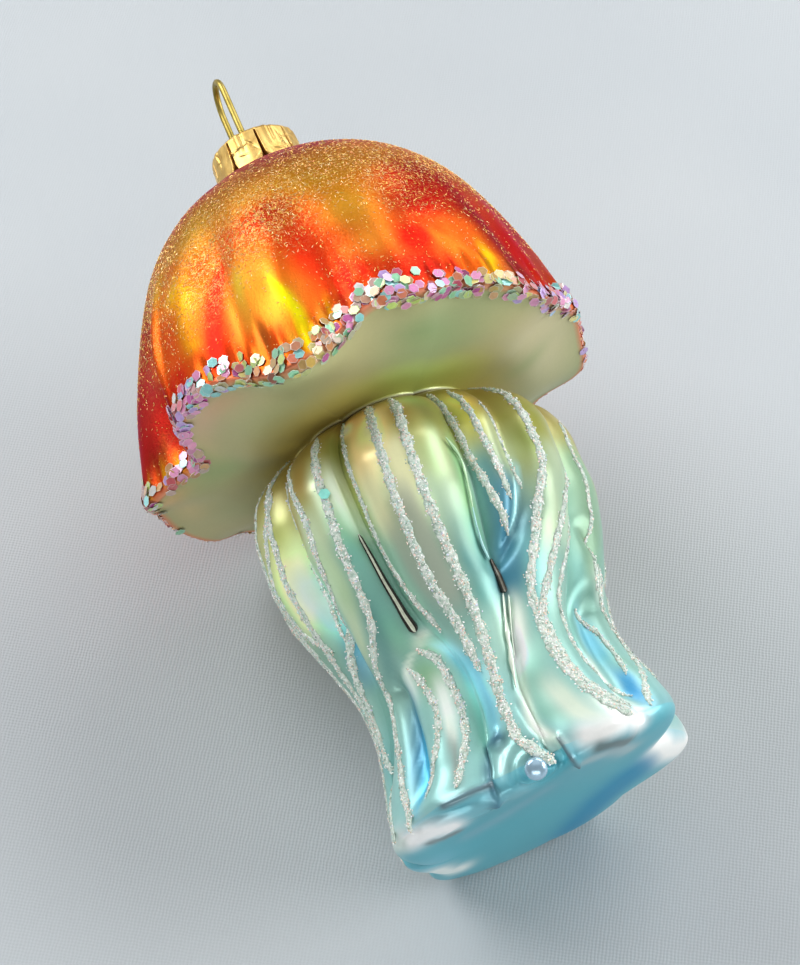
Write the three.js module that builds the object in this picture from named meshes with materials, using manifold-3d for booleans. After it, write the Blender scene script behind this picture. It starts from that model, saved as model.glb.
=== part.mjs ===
// Blown glass jellyfish tree ornament, lying on its side.
// Millimetres, +Z up. The ornament's own axis lies in the YZ plane: the tentacle
// foot points to -Y and low, the crown cap and its wire loop point to +Y and high.
import * as THREE from 'three';
import * as BufferGeometryUtils from 'three/addons/utils/BufferGeometryUtils.js';
import Module from 'manifold-3d';

const wasm = await Module();
wasm.setup();

// ---------------------------------------------------------------- dimensions
const LEAN = 13;            // degrees: axis rises from the foot towards the cap
const FLOOR = -33.0;       // height of the floor under the middle of the rim
const PLACE = [-0.366, 4.706];     // x, y shift that centres the box on the origin
const GAP = 0.3;            // parting gap between neighbouring glass pieces

const RIM_R = 32.6;         // mean radius of the bell's rim
const RIM_Z = -0.4;         // mean height of the rim on the ornament's axis
const RIM_THICK = 0.9;      // rounded edge of the rim
const ROOT_Z = -6.2;        // where the tentacles leave the underside
const WAIST_Z = -42;        // narrowest place of the tentacle bundle
const FOOT_Z = -59.5;       // parting of tentacles and foot
const END_Z = -61.6;        // lower edge of the foot
const FOOT_CROWN = 3.2;     // how far the foot's rounded end stands past that edge
const FOOT_R = 19.6;        // mean radius of the foot's end
const NECK_R = 5.4;         // glass neck inside the cap
const NECK_TOP = 44.0;
const CAP_R = 6.7;          // crown cap, at its top
const CAP_SKIRT_R = 7.6;    // crown cap, at its flared skirt
const CAP_TOP = 46.2;
const CAP_BOTTOM = 39.5;
const CAP_WALL = 0.5;
const CAP_SLOTS = 9;
const NECK_X = 0.4;         // neck and cap sit a little to one side
const WIRE = 1.0;           // loop wire
const LOOP_WIDTH = 6.8;     // between the wire's centres
const LOOP_TOP = 59.4;      // top of the loop
const LOOP_X = -1.35;       // the loop stands off the cap's middle

// bell profile from the neck to the rim: radius, height
const PROFILE = [[5.4, 39.8], [6.8, 38.7], [10, 37.5], [15, 35.5], [19.9, 32.1], [24.0, 27.3],
  [27.1, 21.8], [29.5, 15.3], [31.1, 9.2], [32.1, 3.4], [RIM_R, RIM_Z]];
// scallops of the rim: angle, half width in degrees, drop and flare in mm
const SCALLOPS = [[-80, 10, 2.4, 0], [-58, 7, 0.2, 0.7], [-66, 8, 0, -1.5], [-94, 8, 2.2, 1.6], [-25, 15, 6.0, 1.2],
  [8, 8, 1.4, 0.2], [42, 16, 3.6, 1.0], [96, 14, 2.2, 1.2], [132, 12, 2.0, 0.9],
  [163, 10, 2.4, 3.0], [-163, 10, 2.4, 3.0], [-131, 12, 2.4, 1.2], [-112, 14, 2.0, 0.8]];
// flutes that run up the bell from the rim: angle, half width, depth in mm
const FLUTES = [[-46, 9, 0.9], [-26, 7, 0.8], [-11, 6, -0.9], [-36, 4, -0.8], [8, 9, 0.3], [20, 6, -0.7],
  [36, 8, 0.8], [57, 6, -0.9], [-80, 9.5, -5.4], [-66, 7, 0.8], [76, 9, 0.5], [118, 8, -0.9],
  [96, 9, 0.6], [135, 8, -0.7], [180, 9, -1.0], [-130, 8, -1.0], [-97, 9, 0.5]];
// tentacle bundle: height, mean radius
const BUNDLE = [[-63.5, 20.2], [-61, 20.6], [-57, 19.8], [-52, 18.4], [-47, 17.8], [-43, 18.1],
  [-37, 19.9], [-30, 22.2], [-24, 23.5], [-18, 23.3], [-13, 21.3], [-9.5, 18.2], [-7.6, 15.2], [-6.2, 12.5]];
// tips and hollows of the foot's outline: angle, half width, mm
const FEET = [[-88, 20, 1.5], [50, 20, 0.6], [108, 11.5, 4.4], [-155, 12, 1.0], [154, 12, 0.9],
  [-20, 24, -4.5], [84, 10, -1.2], [8, 14, -1.0], [180, 12, -1.4], [-118, 10, -1.4],
  [-137, 8, 1.2], [80, 8, -0.8]];
// creases between the tentacles, root to foot: [height, angle]
const CREASES = [
  [[-6, -58], [-12, -60], [-21, -61], [-29, -63], [-36, -68], [-42, -76], [-50, -87], [-58, -98], [-64, -106]],
  [[-6, -33], [-16, -36], [-27, -36], [-34, -36], [-39, -34], [-43, -28], [-48, -24], [-52, -25], [-57, -29], [-61, -32], [-64, -36]],
  [[-6, 17], [-10, 16], [-16, 11], [-24, 9], [-35, 5], [-40, 4], [-47, -1], [-53, -5], [-59, -4], [-64, 1]],
  [[-6, 60], [-17, 62], [-27, 57], [-34, 50], [-40, 41], [-47, 34], [-55, 34], [-60, 37], [-64, 42]],
  [[-6, 100], [-20, 104], [-32, 104], [-44, 94], [-54, 84], [-64, 80]],
  [[-6, 138], [-20, 136], [-34, 142], [-46, 134], [-64, 128]],
  [[-6, 178], [-20, 180], [-34, 176], [-48, 178], [-64, 172]],
  [[-6, 220], [-20, 218], [-34, 212], [-48, 204], [-64, 196]],
  [[-6, 262], [-20, 258], [-32, 254], [-42, 248], [-52, 240], [-64, 232]]];
const CREASE_DEPTH = [[-64, 1.0], [-60, 2.0], [-50, 2.2], [-44, 2.0], [-36, 2.8], [-26, 3.6],
  [-18, 3.6], [-11, 2.6], [-7, 1.2], [-6, 0.6]];
// short folds inside a tentacle: half width, depth, path
const FOLDS = [
  [2.4, 2.6, [[-7, 40], [-12, 34], [-18, 28], [-25.5, 25], [-30, 22], [-33, 16], [-37, 7]]],
  [1.8, 2.6, [[-42, -52], [-45, -60], [-51, -60], [-57, -60], [-61, -66]]],
  [3.2, 2.2, [[-41, 50], [-46, 47], [-52, 44], [-58, 42], [-62, 44]]],
  [1.5, 1.6, [[-31, 58], [-36, 66], [-42, 80]]]];

// ------------------------------------------------------------------- helpers
const rad = Math.PI / 180;
const clamp = (x, a, b) => Math.min(b, Math.max(a, x));
const wrap = (a) => ((a + 180) % 360 + 360) % 360 - 180;
const bump = (a, c, w) => Math.exp(-((wrap(a - c) / w) ** 2));
const smooth = (a, b, x) => { const t = clamp((x - a) / (b - a), 0, 1); return t * t * (3 - 2 * t); };

// smooth curve through points [x, y], flat at its turning points
function curve(points) {
  const p = points.slice().sort((a, b) => a[0] - b[0]);
  const n = p.length;
  const d = [];
  for (let i = 0; i < n - 1; i++) d.push((p[i + 1][1] - p[i][1]) / (p[i + 1][0] - p[i][0]));
  const m = [d[0]];
  for (let i = 1; i < n - 1; i++) m.push(d[i - 1] * d[i] > 0 ? 2 * d[i - 1] * d[i] / (d[i - 1] + d[i]) : 0);
  m.push(d[n - 2]);
  return (x) => {
    x = clamp(x, p[0][0], p[n - 1][0]);
    let i = 0;
    while (i < n - 2 && x >= p[i + 1][0]) i++;
    const h = p[i + 1][0] - p[i][0], t = (x - p[i][0]) / h;
    return p[i][1] * (1 + 2 * t) * (1 - t) ** 2 + p[i + 1][1] * t * t * (3 - 2 * t)
      + h * m[i] * t * (1 - t) ** 2 - h * m[i + 1] * t * t * (1 - t);
  };
}

// ---------------------------------------------------------------------- bell
const along = [0];
for (let i = 1; i < PROFILE.length; i++)
  along.push(along[i - 1] + Math.hypot(PROFILE[i][0] - PROFILE[i - 1][0], PROFILE[i][1] - PROFILE[i - 1][1]));
const whole = along[along.length - 1];
const profileR = curve(PROFILE.map((p, i) => [along[i] / whole, p[0]]));
const profileZ = curve(PROFILE.map((p, i) => [along[i] / whole, p[1]]));
const bellX = curve([[0, NECK_X], [0.2, 1.1], [0.45, 1.2], [0.75, 0.7], [1, 0.4]]);   // the bell's slight lean sideways

const flute = (phi) => FLUTES.reduce((s, [c, w, a]) => s + a * bump(phi, c, w), 0);
function rim(phi) {
  let r = RIM_R + flute(phi), z = RIM_Z;
  for (const [c, w, drop, flare] of SCALLOPS) { z -= drop * bump(phi, c, w); r += flare * bump(phi, c, w); }
  return [r, z];
}
function dome(phi, t) {
  const [rr, rz] = rim(phi);
  const f = clamp((t - 0.45) / 0.55, 0, 1);
  const r = profileR(t) + (rr - RIM_R) * f ** 3 + flute(phi) * (smooth(0.42, 1, t) - f ** 3);
  const z = profileZ(t) + (rz - RIM_Z) * f ** 2.2;
  return [bellX(t) + r * Math.sin(phi * rad), r * Math.cos(phi * rad), z];
}

// ----------------------------------------------------------------- tentacles
const bundleR = curve(BUNDLE);
const bundleX = curve([[-64, 1.3], [-40, 1.5], [-20, 1.3], [-6, 0.6]]);
const crease = CREASES.map(curve);
const creaseDepth = curve(CREASE_DEPTH);
const folds = FOLDS.map(([w, d, path]) => {
  const z = path.map((p) => p[0]);
  return [curve(path), Math.min(...z), Math.max(...z), w, d];
});
const sides = (i, z) => {               // the two creases that bound tentacle i
  const a = crease[i](z);
  let b = crease[(i + 1) % crease.length](z);
  while (b < a) b += 360;
  return [a, b];
};
function bundle(phi, z) {
  let r = bundleR(z);
  const low = smooth(-44, -60, z);
  for (const [c, w, a] of FEET) r += a * bump(phi, c, w) * low;
  r += 1.6 * bump(phi, 66, 26) * Math.exp(-(((z + 12) / 5.5) ** 2))
    + 0.9 * bump(phi, -76, 20) * Math.exp(-(((z + 10.5) / 4.5) ** 2));
  let lobe = 0;
  const first = crease[0](z);
  const p = ((phi - first) % 360 + 360) % 360;
  for (let i = 0; i < crease.length; i++) {
    const [a, b] = sides(i, z);
    const from = ((a - first) % 360 + 360) % 360, width = b - a;
    if (p >= from - 1e-7 && p <= from + width + 1e-7)
      lobe = clamp(width / 42, 0.55, 1.35) * Math.abs(2 * (p - from) / width - 1) ** 2.6;
  }
  let out = r - creaseDepth(z) * (lobe - 0.18);
  for (const [path, z0, z1, w, d] of folds) {
    const across = wrap(phi - path(z)) * rad * r;
    out -= d * smooth(z0 - 1, z0 + 4, z) * (1 - smooth(z1 - 4, z1 + 1, z)) / (1 + 1.6 * (across / w) ** 2);
  }
  return out;
}
// the foot's end isn't square to the axis
const slant = (x, u) => 0.075 * x + 0.13 * u + (u > 0 ? -0.0095 : 0.0034) * u * u;
function tentacle(phi, z, r = bundle(phi, z)) {
  const x = bundleX(z) + r * Math.sin(phi * rad), u = r * Math.cos(phi * rad);
  return [x, u, z + slant(x, u) * smooth(-38, -60, z)];
}

// ----------------------------------------- from the ornament's axis to the part
// (x, u, z): x across, u towards the upper side, z along the axis to the cap
const cl = Math.cos(LEAN * rad), sl = Math.sin(LEAN * rad);
function place([x, u, z]) {
  return [x + PLACE[0], z * cl - u * sl + PLACE[1], Math.max(0, u * cl + z * sl - FLOOR)];
}

// closed skin over rings of equal length; a ring of one point is a pole
function loft(rings, flip = false, split = () => false) {
  const pos = [], start = [], index = [];
  for (const ring of rings) { start.push(pos.length / 3); for (const p of ring) pos.push(...place(p)); }
  const tri = (a, b, c) => (flip ? index.push(a, c, b) : index.push(a, b, c));
  const fan = (centre, ring, count, up) => {
    for (let j = 0; j < count; j++) {
      const k = (j + 1) % count;
      up ? tri(centre, ring + j, ring + k) : tri(centre, ring + k, ring + j);
    }
  };
  for (let i = 0; i < rings.length - 1; i++) {
    const n = rings[i].length, m = rings[i + 1].length, a = start[i], b = start[i + 1];
    if (n === 1) fan(a, b, m, true);
    else if (m === 1) fan(b, a, n, false);
    else for (let j = 0; j < n; j++) {
      const k = (j + 1) % n;
      if (split(j, n)) { tri(a + j, b + j, b + k); tri(a + j, b + k, a + k); }
      else { tri(a + j, b + j, a + k); tri(a + k, b + j, b + k); }
    }
  }
  const g = new THREE.BufferGeometry();
  g.setAttribute('position', new THREE.Float32BufferAttribute(pos, 3));
  g.setIndex(index);
  g.computeVertexNormals();
  return g;
}

const steps = (a, b, n) => Array.from({ length: n + 1 }, (_, i) => a + (b - a) * i / n);

// ------------------------------------------------------------------ geometries
function bellGeometry(columns) {
  const phis = Array.from({ length: columns }, (_, j) => -180 + 360 * j / columns);
  const ring = (f) => phis.map(f);
  const round = (r, z) => ring((p) => [NECK_X + r * Math.sin(p * rad), r * Math.cos(p * rad), z]);
  const rings = [[[NECK_X, 0, NECK_TOP]], round(NECK_R - 0.5, NECK_TOP), round(NECK_R, NECK_TOP - 0.5)];
  for (const t of [0, 0.03, 0.09, 0.18, 0.28, 0.38, 0.48, 0.58, 0.67, 0.76, 0.84, 0.9, 0.95, 0.98, 1])
    rings.push(ring((p) => dome(p, t)));
  for (const q of [0, 0.12, 0.28, 0.45, 0.72, 1]) {
    rings.push(ring((p) => {
      const [rr, rz] = rim(p);
      const s = smooth(0, 0.55, q);
      const r = rr - 0.5 + (bundle(p, ROOT_Z) - rr + 0.5) * q;
      const z = (rz - RIM_THICK) * (1 - s) - 5.0 * s - 1.2 * q * q;
      return [0.4 * (1 - q) + bundleX(ROOT_Z) * q + r * Math.sin(p * rad), r * Math.cos(p * rad), z];
    }));
  }
  rings.push([[bundleX(ROOT_Z), 0, ROOT_Z]]);
  return loft(rings);
}

// one tentacle between heights top and bottom: a wedge from the axis out to the skin
function tentacleGeometry(i, top, bottom, ringCount) {
  const [a0, b0] = sides(i, top);
  const n = Math.max(6, Math.round((b0 - a0) / 5.5));
  const rings = steps(top, bottom, ringCount).map((z) => {
    const [a, b] = sides(i, z);
    const edge = GAP * 0.58 / bundleR(z) / rad;
    const ring = [tentacle((a + b) / 2, z, 1.4)];
    for (const t of steps(0, 1, n)) {
      const eased = t - 0.05 * Math.sin(2 * Math.PI * t);
      ring.push(tentacle(a + edge + (b - a - 2 * edge) * eased, z));
    }
    return ring;
  });
  const g = loft(rings, false, (j, m) => j === m - 1);
  return capEnds(g, rings);
}
// closes the two ends of a wedge with fans from its inner edge
function capEnds(g, rings) {
  const n = rings[0].length, last = (rings.length - 1) * n;
  const index = Array.from(g.getIndex().array);
  for (let j = 1; j < n - 1; j++) { index.push(0, j, j + 1); index.push(last, last + j + 1, last + j); }
  g.setIndex(index);
  g.computeVertexNormals();
  return g;
}

function footGeometry(columns) {
  const phis = Array.from({ length: columns }, (_, j) => -180 + 360 * j / columns);
  const rings = [[tentacle(0, FOOT_Z - GAP / 2, 0)]];
  for (const z of [FOOT_Z - GAP / 2, FOOT_Z - 1.1, FOOT_Z - 2.1, END_Z]) rings.push(phis.map((p) => tentacle(p, z)));
  const edge = phis.map((p) => bundle(p, END_Z));
  for (const q of [0.1, 0.2, 0.32, 0.46, 0.7, 1]) {
    const k = 1 - q * q, z = END_Z - FOOT_CROWN * Math.sqrt(1 - k ** 8), s = smooth(0, 0.75, q);
    const ring = phis.map((p, j) => {
      const r = (edge[j] * (1 - s) + FOOT_R * s) * k;
      const x = bundleX(END_Z) + r * Math.sin(p * rad), u = r * Math.cos(p * rad);
      return [x, u, z + slant(x, u)];
    });
    rings.push(q < 1 ? ring : [ring[0]]);
  }
  return loft(rings);
}

// ------------------------------------------------------------- joins and cuts
function solid(geometry) {
  const g = geometry.clone();
  g.deleteAttribute('normal'); g.deleteAttribute('uv');
  const m = BufferGeometryUtils.mergeVertices(g, 1e-4);
  return new wasm.Manifold(new wasm.Mesh({ numProp: 3,
    vertProperties: new Float32Array(m.attributes.position.array), triVerts: new Uint32Array(m.index.array) }));
}
function geometryOf(manifold) {
  const mesh = manifold.getMesh();
  const g = new THREE.BufferGeometry();
  g.setAttribute('position', new THREE.Float32BufferAttribute(mesh.vertProperties, 3));
  g.setIndex(Array.from(mesh.triVerts));
  g.computeVertexNormals();
  return g;
}

// the sealed bead of glass on the foot's rounded edge
const NUB = { x: -2.4, u: 16.1, z: -63.5, r: 1.8 };
function footWithBead() {
  const [x, y, h] = place([NUB.x, NUB.u, NUB.z]);
  const bead = new THREE.SphereGeometry(NUB.r, 12, 8).translate(x, y, h);
  return geometryOf(solid(footGeometry(60)).add(solid(bead)));
}

// crown cap: a thin cup over the neck, with a flared and slotted skirt, two wire holes in its top
function capGeometry() {
  const ri = NECK_R + GAP;
  const profile = [[0, CAP_TOP - CAP_WALL], [ri, CAP_TOP - CAP_WALL], [ri + 0.1, CAP_TOP - 3.2], [CAP_SKIRT_R - CAP_WALL - 0.2, CAP_BOTTOM],
    [CAP_SKIRT_R, CAP_BOTTOM], [CAP_R + 0.15, CAP_BOTTOM + 3.0], [CAP_R, CAP_TOP - 0.8], [CAP_R - 0.6, CAP_TOP], [0, CAP_TOP]];
  // the lathe turns about +Y; its +Y becomes the ornament's axis
  const cup = new THREE.LatheGeometry(profile.map(([r, z]) => new THREE.Vector2(r, z)), 32);
  let body = solid(cup);
  for (let i = 0; i < CAP_SLOTS; i++) {
    const a = (i + 0.3) * 2 * Math.PI / CAP_SLOTS;
    const slot = new THREE.BoxGeometry(2.4, 4.4, 0.5).translate(CAP_SKIRT_R - 0.2, CAP_BOTTOM + 1.7, 0).rotateY(a);
    body = body.subtract(solid(slot));
  }
  for (const s of [-1, 1]) {
    const hole = new THREE.CylinderGeometry(WIRE / 2 + GAP, WIRE / 2 + GAP, 3, 12)
      .translate(LOOP_X, CAP_TOP, s * LOOP_WIDTH / 2);
    body = body.subtract(solid(hole));
  }
  return geometryOf(body);
}

// wire loop: up one leg, round the top, down the other
function loopGeometry() {
  const half = LOOP_WIDTH / 2, path = [];
  const leg = LOOP_TOP - WIRE / 2 - half * 1.15;
  const pt = (w, z) => path.push(new THREE.Vector3(0, z, w));
  for (const z of steps(CAP_TOP - 1.1, leg, 4)) pt(-half, z);
  for (const a of steps(180, 0, 10).slice(1, -1)) pt(half * Math.cos(a * rad), leg + half * 1.15 * Math.sin(a * rad));
  for (const z of steps(leg, CAP_TOP - 1.1, 4)) pt(half, z);
  const section = new THREE.Shape();
  section.absarc(0, 0, WIRE / 2, 0, 2 * Math.PI, false);
  return new THREE.ExtrudeGeometry(section, { steps: 22, curveSegments: 4, bevelEnabled: false,
    extrudePath: new THREE.CatmullRomCurve3(path, false, 'centripetal') });
}

// --------------------------------------------------------------------- object
const finish = {
  bell: new THREE.MeshStandardMaterial({ color: 0xd9601c, roughness: 0.38, metalness: 0.75 }),
  arm: new THREE.MeshStandardMaterial({ color: 0x9fd0c0, roughness: 0.3, metalness: 0.6 }),
  armLow: new THREE.MeshStandardMaterial({ color: 0x7cc4cf, roughness: 0.3, metalness: 0.6 }),
  foot: new THREE.MeshStandardMaterial({ color: 0x3f9dbd, roughness: 0.3, metalness: 0.5 }),
  cap: new THREE.MeshStandardMaterial({ color: 0xd8b25a, roughness: 0.35, metalness: 1.0 }),
  wire: new THREE.MeshStandardMaterial({ color: 0xa89030, roughness: 0.35, metalness: 1.0 }),
};
const group = new THREE.Group();
const part = (name, geometry, material, parent = group) => {
  const mesh = new THREE.Mesh(geometry, material.clone());
  mesh.name = name;
  parent.add(mesh);
  return mesh;
};

part('bell', bellGeometry(84), finish.bell);
for (let i = 0; i < crease.length; i++) {
  const n = String(i + 1);
  part(`tentacle_${n}_upper`, tentacleGeometry(i, ROOT_Z - GAP, WAIST_Z + GAP / 2, 13), finish.arm);
  part(`tentacle_${n}_lower`, tentacleGeometry(i, WAIST_Z - GAP / 2, FOOT_Z + GAP / 2, 7), finish.armLow);
}
part('foot', footWithBead(), finish.foot);

// cap and loop stand on the ornament's axis: +Y of this group is the axis, its +Z the upper side
const top = new THREE.Group();
top.position.set(NECK_X + PLACE[0], PLACE[1], -FLOOR);
top.rotation.x = LEAN * rad;
group.add(top);
part('crown_cap', capGeometry(), finish.cap, top);
part('wire_loop', loopGeometry(), finish.wire, top).position.x = LOOP_X;

export default group;
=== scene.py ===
import math
import bpy
import numpy as np
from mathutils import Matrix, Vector


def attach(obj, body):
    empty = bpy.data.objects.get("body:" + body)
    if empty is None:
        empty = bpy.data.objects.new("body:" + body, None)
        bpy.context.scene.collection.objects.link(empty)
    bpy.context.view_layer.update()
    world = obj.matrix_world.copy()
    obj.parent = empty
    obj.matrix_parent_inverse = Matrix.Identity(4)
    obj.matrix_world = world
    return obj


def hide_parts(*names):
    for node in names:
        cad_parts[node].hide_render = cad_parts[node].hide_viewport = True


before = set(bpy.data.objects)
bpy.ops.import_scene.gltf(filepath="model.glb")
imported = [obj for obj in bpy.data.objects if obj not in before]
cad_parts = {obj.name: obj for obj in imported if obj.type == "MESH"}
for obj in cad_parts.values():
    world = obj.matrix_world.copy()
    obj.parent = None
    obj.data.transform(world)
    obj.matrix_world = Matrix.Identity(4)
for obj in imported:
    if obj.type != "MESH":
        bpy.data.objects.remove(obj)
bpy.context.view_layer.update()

# ---------------------------------------------------------------- the glass, in mm
# Local frame of the ornament: x across, u towards the upper side, z along its axis towards the cap.
# Angle phi: x = r sin(phi), u = r cos(phi).
LEAN, FLOOR, PLACE = math.radians(13.0), -33.0, (-0.366, 4.706)
RIM_R, RIM_Z, RIM_THICK, ROOT_Z, END_Z, FOOT_CROWN = 32.6, -0.4, 0.9, -6.2, -61.6, 3.2
NECK_R, NECK_TOP, NECK_X = 5.4, 44.0, 0.4
CAP_R, CAP_SKIRT_R, CAP_TOP, CAP_BOTTOM = 6.7, 7.6, 46.2, 39.5
WIRE, LOOP_WIDTH, LOOP_TOP, LOOP_X = 1.0, 6.8, 59.4, -1.35

PROFILE = [(5.4, 39.8), (6.8, 38.7), (10, 37.5), (15, 35.5), (19.9, 32.1), (24.0, 27.3), (27.1, 21.8),
           (29.5, 15.3), (31.1, 9.2), (32.1, 3.4), (RIM_R, RIM_Z)]
SCALLOPS = [(-80, 10, 2.4, 0.0), (-58, 7, 0.2, 0.7), (-66, 8, 0.0, -1.5), (-94, 8, 2.2, 1.6), (-25, 15, 6.0, 1.2), (8, 8, 1.4, 0.2),
            (42, 16, 3.6, 1.0), (96, 14, 2.2, 1.2), (132, 12, 2.0, 0.9), (163, 10, 2.4, 3.0), (-163, 10, 2.4, 3.0),
            (-131, 12, 2.4, 1.2), (-112, 14, 2.0, 0.8)]
FLUTES = [(-46, 9, 0.9), (-26, 7, 0.8), (-11, 6, -0.9), (-36, 4, -0.8), (8, 9, 0.3), (20, 6, -0.7), (36, 8, 0.8),
          (57, 6, -0.9), (-80, 9.5, -5.4), (-66, 7, 0.8), (76, 9, 0.5), (118, 8, -0.9), (96, 9, 0.6), (135, 8, -0.7),
          (180, 9, -1.0), (-130, 8, -1.0), (-97, 9, 0.5)]
BUNDLE = [(-63.5, 20.2), (-61, 20.6), (-57, 19.8), (-52, 18.4), (-47, 17.8), (-43, 18.1), (-37, 19.9), (-30, 22.2),
          (-24, 23.5), (-18, 23.3), (-13, 21.3), (-9.5, 18.2), (-7.6, 15.2), (-6.2, 12.5)]
FEET = [(-88, 20, 1.5), (50, 20, 0.6), (108, 11.5, 4.4), (-155, 12, 1.0), (154, 12, 0.9), (-20, 24, -4.5),
        (84, 10, -1.2), (8, 14, -1.0), (180, 12, -1.4), (-118, 10, -1.4), (-137, 8, 1.2), (80, 8, -0.8)]
CREASES = [
    [(-6, -58), (-12, -60), (-21, -61), (-29, -63), (-36, -68), (-42, -76), (-50, -87), (-58, -98), (-64, -106)],
    [(-6, -33), (-16, -36), (-27, -36), (-34, -36), (-39, -34), (-43, -28), (-48, -24), (-52, -25), (-57, -29), (-61, -32), (-64, -36)],
    [(-6, 17), (-10, 16), (-16, 11), (-24, 9), (-35, 5), (-40, 4), (-47, -1), (-53, -5), (-59, -4), (-64, 1)],
    [(-6, 60), (-17, 62), (-27, 57), (-34, 50), (-40, 41), (-47, 34), (-55, 34), (-60, 37), (-64, 42)],
    [(-6, 100), (-20, 104), (-32, 104), (-44, 94), (-54, 84), (-64, 80)],
    [(-6, 138), (-20, 136), (-34, 142), (-46, 134), (-64, 128)],
    [(-6, 178), (-20, 180), (-34, 176), (-48, 178), (-64, 172)],
    [(-6, 220), (-20, 218), (-34, 212), (-48, 204), (-64, 196)],
    [(-6, 262), (-20, 258), (-32, 254), (-42, 248), (-52, 240), (-64, 232)]]
CREASE_DEPTH = [(-64, 1.0), (-60, 2.0), (-50, 2.2), (-44, 2.0), (-36, 2.8), (-26, 3.6), (-18, 3.6), (-11, 2.6), (-7, 1.2), (-6, 0.6)]
FOLDS = [
    (2.4, 2.6, [(-7, 40), (-12, 34), (-18, 28), (-25.5, 25), (-30, 22), (-33, 16), (-37, 7)]),
    (1.8, 2.6, [(-42, -52), (-45, -60), (-51, -60), (-57, -60), (-61, -66)]),
    (3.2, 2.2, [(-41, 50), (-46, 47), (-52, 44), (-58, 42), (-62, 44)]),
    (1.5, 1.6, [(-31, 58), (-36, 66), (-42, 80)])]


def curve(points):
    """Smooth curve through points (x, y), flat at its turning points."""
    p = sorted(points)
    xs = np.array([a for a, _ in p], float)
    ys = np.array([b for _, b in p], float)
    d = np.diff(ys) / np.diff(xs)
    m = np.empty_like(ys)
    m[0], m[-1] = d[0], d[-1]
    same = d[1:] * d[:-1]
    m[1:-1] = np.where(same > 0, 2 * same / np.where(same > 0, d[1:] + d[:-1], 1), 0)

    def f(x):
        x = np.clip(x, xs[0], xs[-1])
        i = np.clip(np.searchsorted(xs, x, side="right") - 1, 0, len(xs) - 2)
        h = xs[i + 1] - xs[i]
        t = (x - xs[i]) / h
        return (ys[i] * (1 + 2 * t) * (1 - t) ** 2 + ys[i + 1] * t * t * (3 - 2 * t)
                + h * m[i] * t * (1 - t) ** 2 - h * m[i + 1] * t * t * (1 - t))
    return f


def wrap(a):
    return (np.asarray(a, float) + 180.0) % 360.0 - 180.0


def bump(a, c, w):
    return np.exp(-(wrap(a - c) / w) ** 2)


def gauss(x, c, w):
    return np.exp(-((x - c) / w) ** 2)


def step(a, b, x):
    t = np.clip((x - a) / (b - a), 0, 1)
    return t * t * (3 - 2 * t)


_P = np.array(PROFILE)
_along = np.concatenate([[0], np.cumsum(np.hypot(*np.diff(_P, axis=0).T))])
DOME_LENGTH = float(_along[-1])
_along = _along / DOME_LENGTH
profile_r = curve(list(zip(_along, _P[:, 0])))
profile_z = curve(list(zip(_along, _P[:, 1])))
bell_x = curve([(0, NECK_X), (0.2, 1.1), (0.45, 1.2), (0.75, 0.7), (1, 0.4)])
bundle_r = curve(BUNDLE)
bundle_x = curve([(-64, 1.3), (-40, 1.5), (-20, 1.3), (-6, 0.6)])
crease = [curve(c) for c in CREASES]
crease_depth = curve(CREASE_DEPTH)
folds = [(curve(path), min(z for z, _ in path), max(z for z, _ in path), w, d) for w, d, path in FOLDS]


def flute(phi):
    return sum(a * bump(phi, c, w) for c, w, a in FLUTES)


def rim(phi):
    r, z = RIM_R + flute(phi), RIM_Z + 0 * phi
    for c, w, drop, flare in SCALLOPS:
        b = bump(phi, c, w)
        z, r = z - drop * b, r + flare * b
    return r, z


def dome(phi, t, pleat=None):
    """Skin of the bell: t from 0 at the neck to 1 at the rim."""
    rr, rz = rim(phi)
    f = np.clip((t - 0.45) / 0.55, 0, 1)
    r = profile_r(t) + (rr - RIM_R) * f ** 3 + flute(phi) * (step(0.42, 1, t) - f ** 3)
    if pleat is not None:
        r = r + pleat(phi, t)
    z = profile_z(t) + (rz - RIM_Z) * f ** 2.2
    a = np.radians(phi)
    return np.stack(np.broadcast_arrays(bell_x(t) + r * np.sin(a), r * np.cos(a), z), -1)


def bundle(phi, z):
    phi, z = np.broadcast_arrays(np.asarray(phi, float), np.asarray(z, float))
    r = bundle_r(z)
    low = step(-44, -60, z)
    for c, w, a in FEET:
        r = r + a * bump(phi, c, w) * low
    r = r + 1.6 * bump(phi, 66, 26) * gauss(z, -12, 5.5) + 0.9 * bump(phi, -76, 20) * gauss(z, -10.5, 4.5)
    g0 = crease[0](z)
    p = (phi - g0) % 360.0
    at = [np.zeros_like(p)] + [(c(z) - g0) % 360.0 for c in crease[1:]] + [np.full_like(p, 360.0)]
    lobe = np.zeros_like(p)
    for i in range(len(crease)):
        a, b = at[i], at[i + 1]
        inside = (p >= a) & (p < b)
        t = np.where(inside, (p - a) / np.maximum(b - a, 1e-6), 0.5)
        lobe = np.where(inside, np.clip((b - a) / 42.0, 0.55, 1.35) * np.abs(2 * t - 1) ** 2.6, lobe)
    out = r - crease_depth(z) * (lobe - 0.18)
    for path, z0, z1, w, d in folds:
        across = np.radians(wrap(phi - path(z))) * r
        out = out - d * step(z0 - 1, z0 + 4, z) * (1 - step(z1 - 4, z1 + 1, z)) / (1 + 1.6 * (across / w) ** 2)
    return out


def slant(x, u):
    u = np.asarray(u, float)
    return 0.075 * x + np.where(u > 0, 0.13 * u - 0.0095 * u * u, 0.13 * u + 0.0034 * u * u)


def arms(phi, z, lift=0.0):
    """Skin of the bundle of arms at height z, from the root at -6.2 to the foot at -62.6."""
    r = bundle(phi, z) + lift
    a = np.radians(phi)
    x, u = bundle_x(z) + r * np.sin(a), r * np.cos(a)
    return np.stack(np.broadcast_arrays(x, u, z + slant(x, u) * step(-38, -60, z)), -1)


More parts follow.
